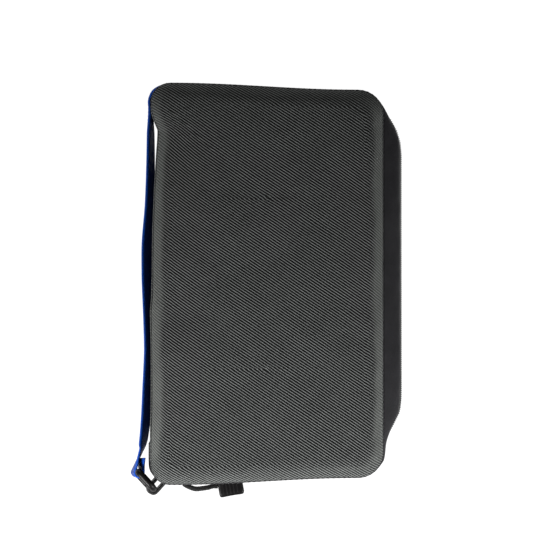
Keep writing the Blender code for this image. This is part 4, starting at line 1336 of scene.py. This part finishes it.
def ring():
    reach = RING_DEPTH - RING_ROD
    half = STRAP_WIDTH / 2 + LAYER_GAP + RING_BEND
    bow = half - TAB_WIDTH / 2 - 2 * LAYER_GAP
    side = [(0.0, v) for v in np.linspace(0, half - RING_BEND, 9)[:-1]]
    side += [(RING_BEND * (1 - math.cos(a)), half - RING_BEND + RING_BEND * math.sin(a))
             for a in np.linspace(0, math.pi / 2, 6)]
    side += [(u, half) for u in np.linspace(RING_BEND, reach - bow, 6)[1:-1]]
    side += [(reach - bow + bow * math.sin(a), half - bow + bow * math.cos(a))
             for a in np.linspace(0, math.pi / 2, 12)]
    side += [(reach, v) for v in np.linspace(half - bow, 0, 6)[1:]]
    profile = side + [(u, -v) for u, v in side[::-1][1:-1]]
    side = Vector((RING_AXIS.y, -RING_AXIS.x))
    route = []
    for u, v in profile:
        plan = RING_BAR + RING_AXIS * u - side * (v * math.sin(RING_LEAN))
        route.append(Vector((plan.x, plan.y, STRAP_Z + v * math.cos(RING_LEAN))))
    return tube("strap_d_ring", route, RING_RADIUS, MOULDED, sides=20, closed=True)


def tab_route():
    """From the spine, round the lower corner, and through the ring's bow back to the corner."""
    half = TAB_THICK / 2
    centre = Vector((-HALF_WIDTH + SPINE_R, -HALF_LENGTH + SPINE_R))
    stand = SPINE_R + LAYER_GAP + half
    near = -HALF_WIDTH - LAYER_GAP - half
    seam = [Vector((near, -SPINE_END + 0.012)), Vector((near, -SPINE_END))]
    seam += [polar(centre, stand, a) for a in (190, 203, 216, 226)]
    towards = centre + (RING_APEX - centre).normalized() * stand - RING_APEX
    start = math.degrees(math.atan2(towards.y, towards.x)) + 90
    loop = [polar(RING_APEX, TAB_LOOP_R, start + a) for a in range(0, 181, 20)]
    return flowing([*seam, *loop, polar(centre, stand + 0.0006, 250)], 0.0008)


def tab_lean(y):
    """The loop is upright where it is sewn down, and leans with the ring beyond that."""
    return -RING_LEAN * min(1.0, max(0.0, (TAB_BEND_Y - y) / TAB_BEND))


BLACK_WEBBING = webbing_look("black_webbing", (0.004, 0.004, 0.004), (0.020, 0.020, 0.020), 0.0042, 0.05)
attach(ring(), "spine", "black_plastic", "strap_ring")
holder = ribbon("ring_loop", tab_route(), TAB_WIDTH, TAB_THICK, tab_lean, BLACK_WEBBING, 0.1)
attach(holder, "spine", "black_webbing", "ring_tab")


# Sleeve leaves
# Twelve leaves for discs, each a white felt core between clear films welded round two pockets,
# open at the fore edge with a thumb notch. A folded nylon strip binds them at the spine.
LEAF_COUNT = 12
LEAF_PITCH = 0.0014
LEAF_THICK = 0.0009
CORE_HALF = 0.00012
LEAF_BASE = CAVITY_Z + 0.0016
block_low, block_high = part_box("page_block")
LEAF_ROOT = block_low.x + 0.0090
LEAF_FORE = block_high.x
LEAF_HALF = (block_high.y - block_low.y) / 2
LEAF_R = 0.012
NOTCH_R = 0.011
NOTCH_DEPTH = 0.008


def leaf_edge(y):
    over = np.maximum(0.0, np.abs(y) - (LEAF_HALF - LEAF_R))
    return LEAF_FORE - LEAF_R + np.sqrt(np.maximum(0.0, LEAF_R ** 2 - over ** 2))


def leaf_cores():
    """The felt cores of all leaves in one mesh."""
    y = np.concatenate((np.linspace(-LEAF_HALF, -LEAF_HALF + LEAF_R, 8),
                        np.linspace(-LEAF_HALF + LEAF_R, LEAF_HALF - LEAF_R, 26)[1:-1],
                        np.linspace(LEAF_HALF - LEAF_R, LEAF_HALF, 8)))
    parts = []
    for leaf in range(LEAF_COUNT):
        level = LEAF_BASE + leaf * LEAF_PITCH + LEAF_THICK / 2
        cloth = [columns(block_low.x + (leaf_edge(y) - block_low.x) * share, y)
                 for share in np.linspace(0, 1, 6)]
        rows = [columns(*row.T, level - CORE_HALF) for row in cloth]
        rows += [columns(*row.T, level + CORE_HALF) for row in cloth[::-1]]
        parts.append(grid("leaf_core", rows + rows[:1], FELT, cloth + cloth[::-1] + cloth[:1]))
    return joined("leaf_cores", parts)


def joined(name, parts):
    bpy.ops.object.select_all(action="DESELECT")
    for part in parts:
        part.select_set(True)
    bpy.context.view_layer.objects.active = parts[0]
    bpy.ops.object.join()
    parts[0].name = name
    parts[0].data.name = name
    return parts[0]


def leaf_films():
    """The clear pockets of all leaves: each film swells a little between its welds."""
    parts = []
    t = np.linspace(0, 1, 22)
    notch = np.maximum(0.0, 1 - ((t - 0.5) * LEAF_HALF / NOTCH_R) ** 2) ** 0.5 * NOTCH_DEPTH
    for leaf, side, half in itertools.product(range(LEAF_COUNT), (-1, 1), (-1, 1)):
        level = LEAF_BASE + leaf * LEAF_PITCH + LEAF_THICK / 2
        y = half * (0.0012 + (LEAF_HALF - 0.0024) * t)
        fore = leaf_edge(y) - 0.0006 - notch
        rows, cloth = [], []
        for share in np.linspace(0, 1, 12):
            x = LEAF_ROOT + (fore - LEAF_ROOT) * share
            swell = np.sin(np.pi * t) ** 0.5 * math.sin(math.pi * 0.8 * min(1.0, share * 1.25 + 0.02))
            rows.append(columns(x, y, level + side * (0.00016 + 0.00026 * swell)))
            cloth.append(columns(x, y))
        parts.append(grid("leaf_film", rows, FILM, cloth))
    return joined("leaf_films", parts)


def binding():
    """The strip folded round the spine edge of the leaves."""
    low_z = LEAF_BASE - LAYER_GAP
    high_z = LEAF_BASE + (LEAF_COUNT - 1) * LEAF_PITCH + LEAF_THICK + LAYER_GAP
    x_out, x_in = block_low.x - 0.0003, block_low.x + 0.0070
    level = np.linspace(low_z + 0.001, high_z - 0.001, 8)
    flat = np.linspace(x_out + 0.001, x_in, 5)
    path = np.vstack((columns(flat[::-1], low_z), columns(x_out + 0.0003, low_z + 0.0003),
                      columns(x_out, level), columns(x_out + 0.0003, high_z - 0.0003),
                      columns(flat, high_z)))
    places = np.linspace(-LEAF_HALF, LEAF_HALF, 100)
    rows = [columns(path[:, 0], y, path[:, 1]) for y in places]
    cloth = [columns(lengths(path), y) for y in places]
    return shell("leaf_binding", rows, LINED, cloth, 0.0008, True, offset=1.0)


def felt_look():
    look = Look("white_felt", 0.95, Sheen_Weight=0.1)
    fibres = look.noise(700, 5.0, roughness=0.7)
    look.dyed(fibres, (0.52, 0.53, 0.54), (0.80, 0.81, 0.82))
    return look.relief(fibres, 0.00006)


def film_look():
    look = Look("clear_film", 0.12, IOR=1.49, Specular_IOR_Level=0.6)
    scuff = look.noise(400, 4.0).between(0.55, 0.8)
    look.dyed(scuff, (0.80, 0.83, 0.86), (0.95, 0.96, 0.97),
              Roughness=0.10 + scuff * 0.15, Alpha=0.22 + scuff * 0.15)
    return look.relief(look.noise(45), 0.0003)


FELT = felt_look()
FILM = film_look()
attach(follow(leaf_films()), "front_half", "film", "page_block")
attach(follow(leaf_cores()), "front_half", "film")
attach(follow(binding()), "front_half", "lining", "binding_strip")
run_y = np.linspace(-LEAF_HALF + 0.003, LEAF_HALF - 0.003, 60)
top_z = LEAF_BASE + LEAF_COUNT * LEAF_PITCH + 0.0006
seam = columns(block_low.x + 0.0045, run_y, top_z)
row = stitches("binding_stitches", seam, np.tile((0.0, 0.0, 1.0), (60, 1)), BLACK_STITCH)
attach(follow(row), "front_half", "lining")


# Sliders and links
# Die-cast zip sliders painted black, each with a wire link through its bridge. The paint is worn
# to a soft shine on the parts that fingers touch.
def link(name, place, turn):
    """A wire loop, lying along X from its hinge before it is turned."""
    near, far = LINK_CORNER, LINK_SIZE[0] - LINK_WIRE - LINK_CORNER
    side = (LINK_SIZE[1] - LINK_WIRE) / 2 - LINK_CORNER
    route = []
    for x, y, start in ((near, -side, 270), (near, side, 90), (far, side, 0), (far, -side, -90)):
        for degrees in range(start, start - 91, -15):
            spot = polar(Vector((x, y)), LINK_CORNER, degrees)
            route.append(place + turn @ Vector((*spot, 0)))
    return tube(name, route, LINK_WIRE / 2, PAINTED, sides=12, closed=True)


PAINTED = rubbed_look("black_painted_metal", (0.012, 0.012, 0.013), (0.11, 0.11, 0.115),
                      (330, 5.0, 0.5, 0.72), (0.42, -0.16), 1300, Specular_IOR_Level=0.4,
                      Metallic=0.6, Coat_Weight=0.3, Coat_Roughness=0.25)
for name in ("main_slider", "pocket_slider"):
    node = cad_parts[name]
    node.data.materials.clear()
    node.data.materials.append(PAINTED.material)
tilted = Matrix.Rotation(-LINK_ANGLE, 3, "Z") @ Matrix.Rotation(math.radians(90), 3, "X")
flat = Matrix.Rotation(math.radians(-90), 3, "Z")
attach(link("main_link", MAIN_HINGE, tilted), "main_pull", "slider_metal", "main_pull_link")
attach(link("pocket_link", POCKET_HINGE, flat), "pocket_pull", "slider_metal", "pocket_pull_link")
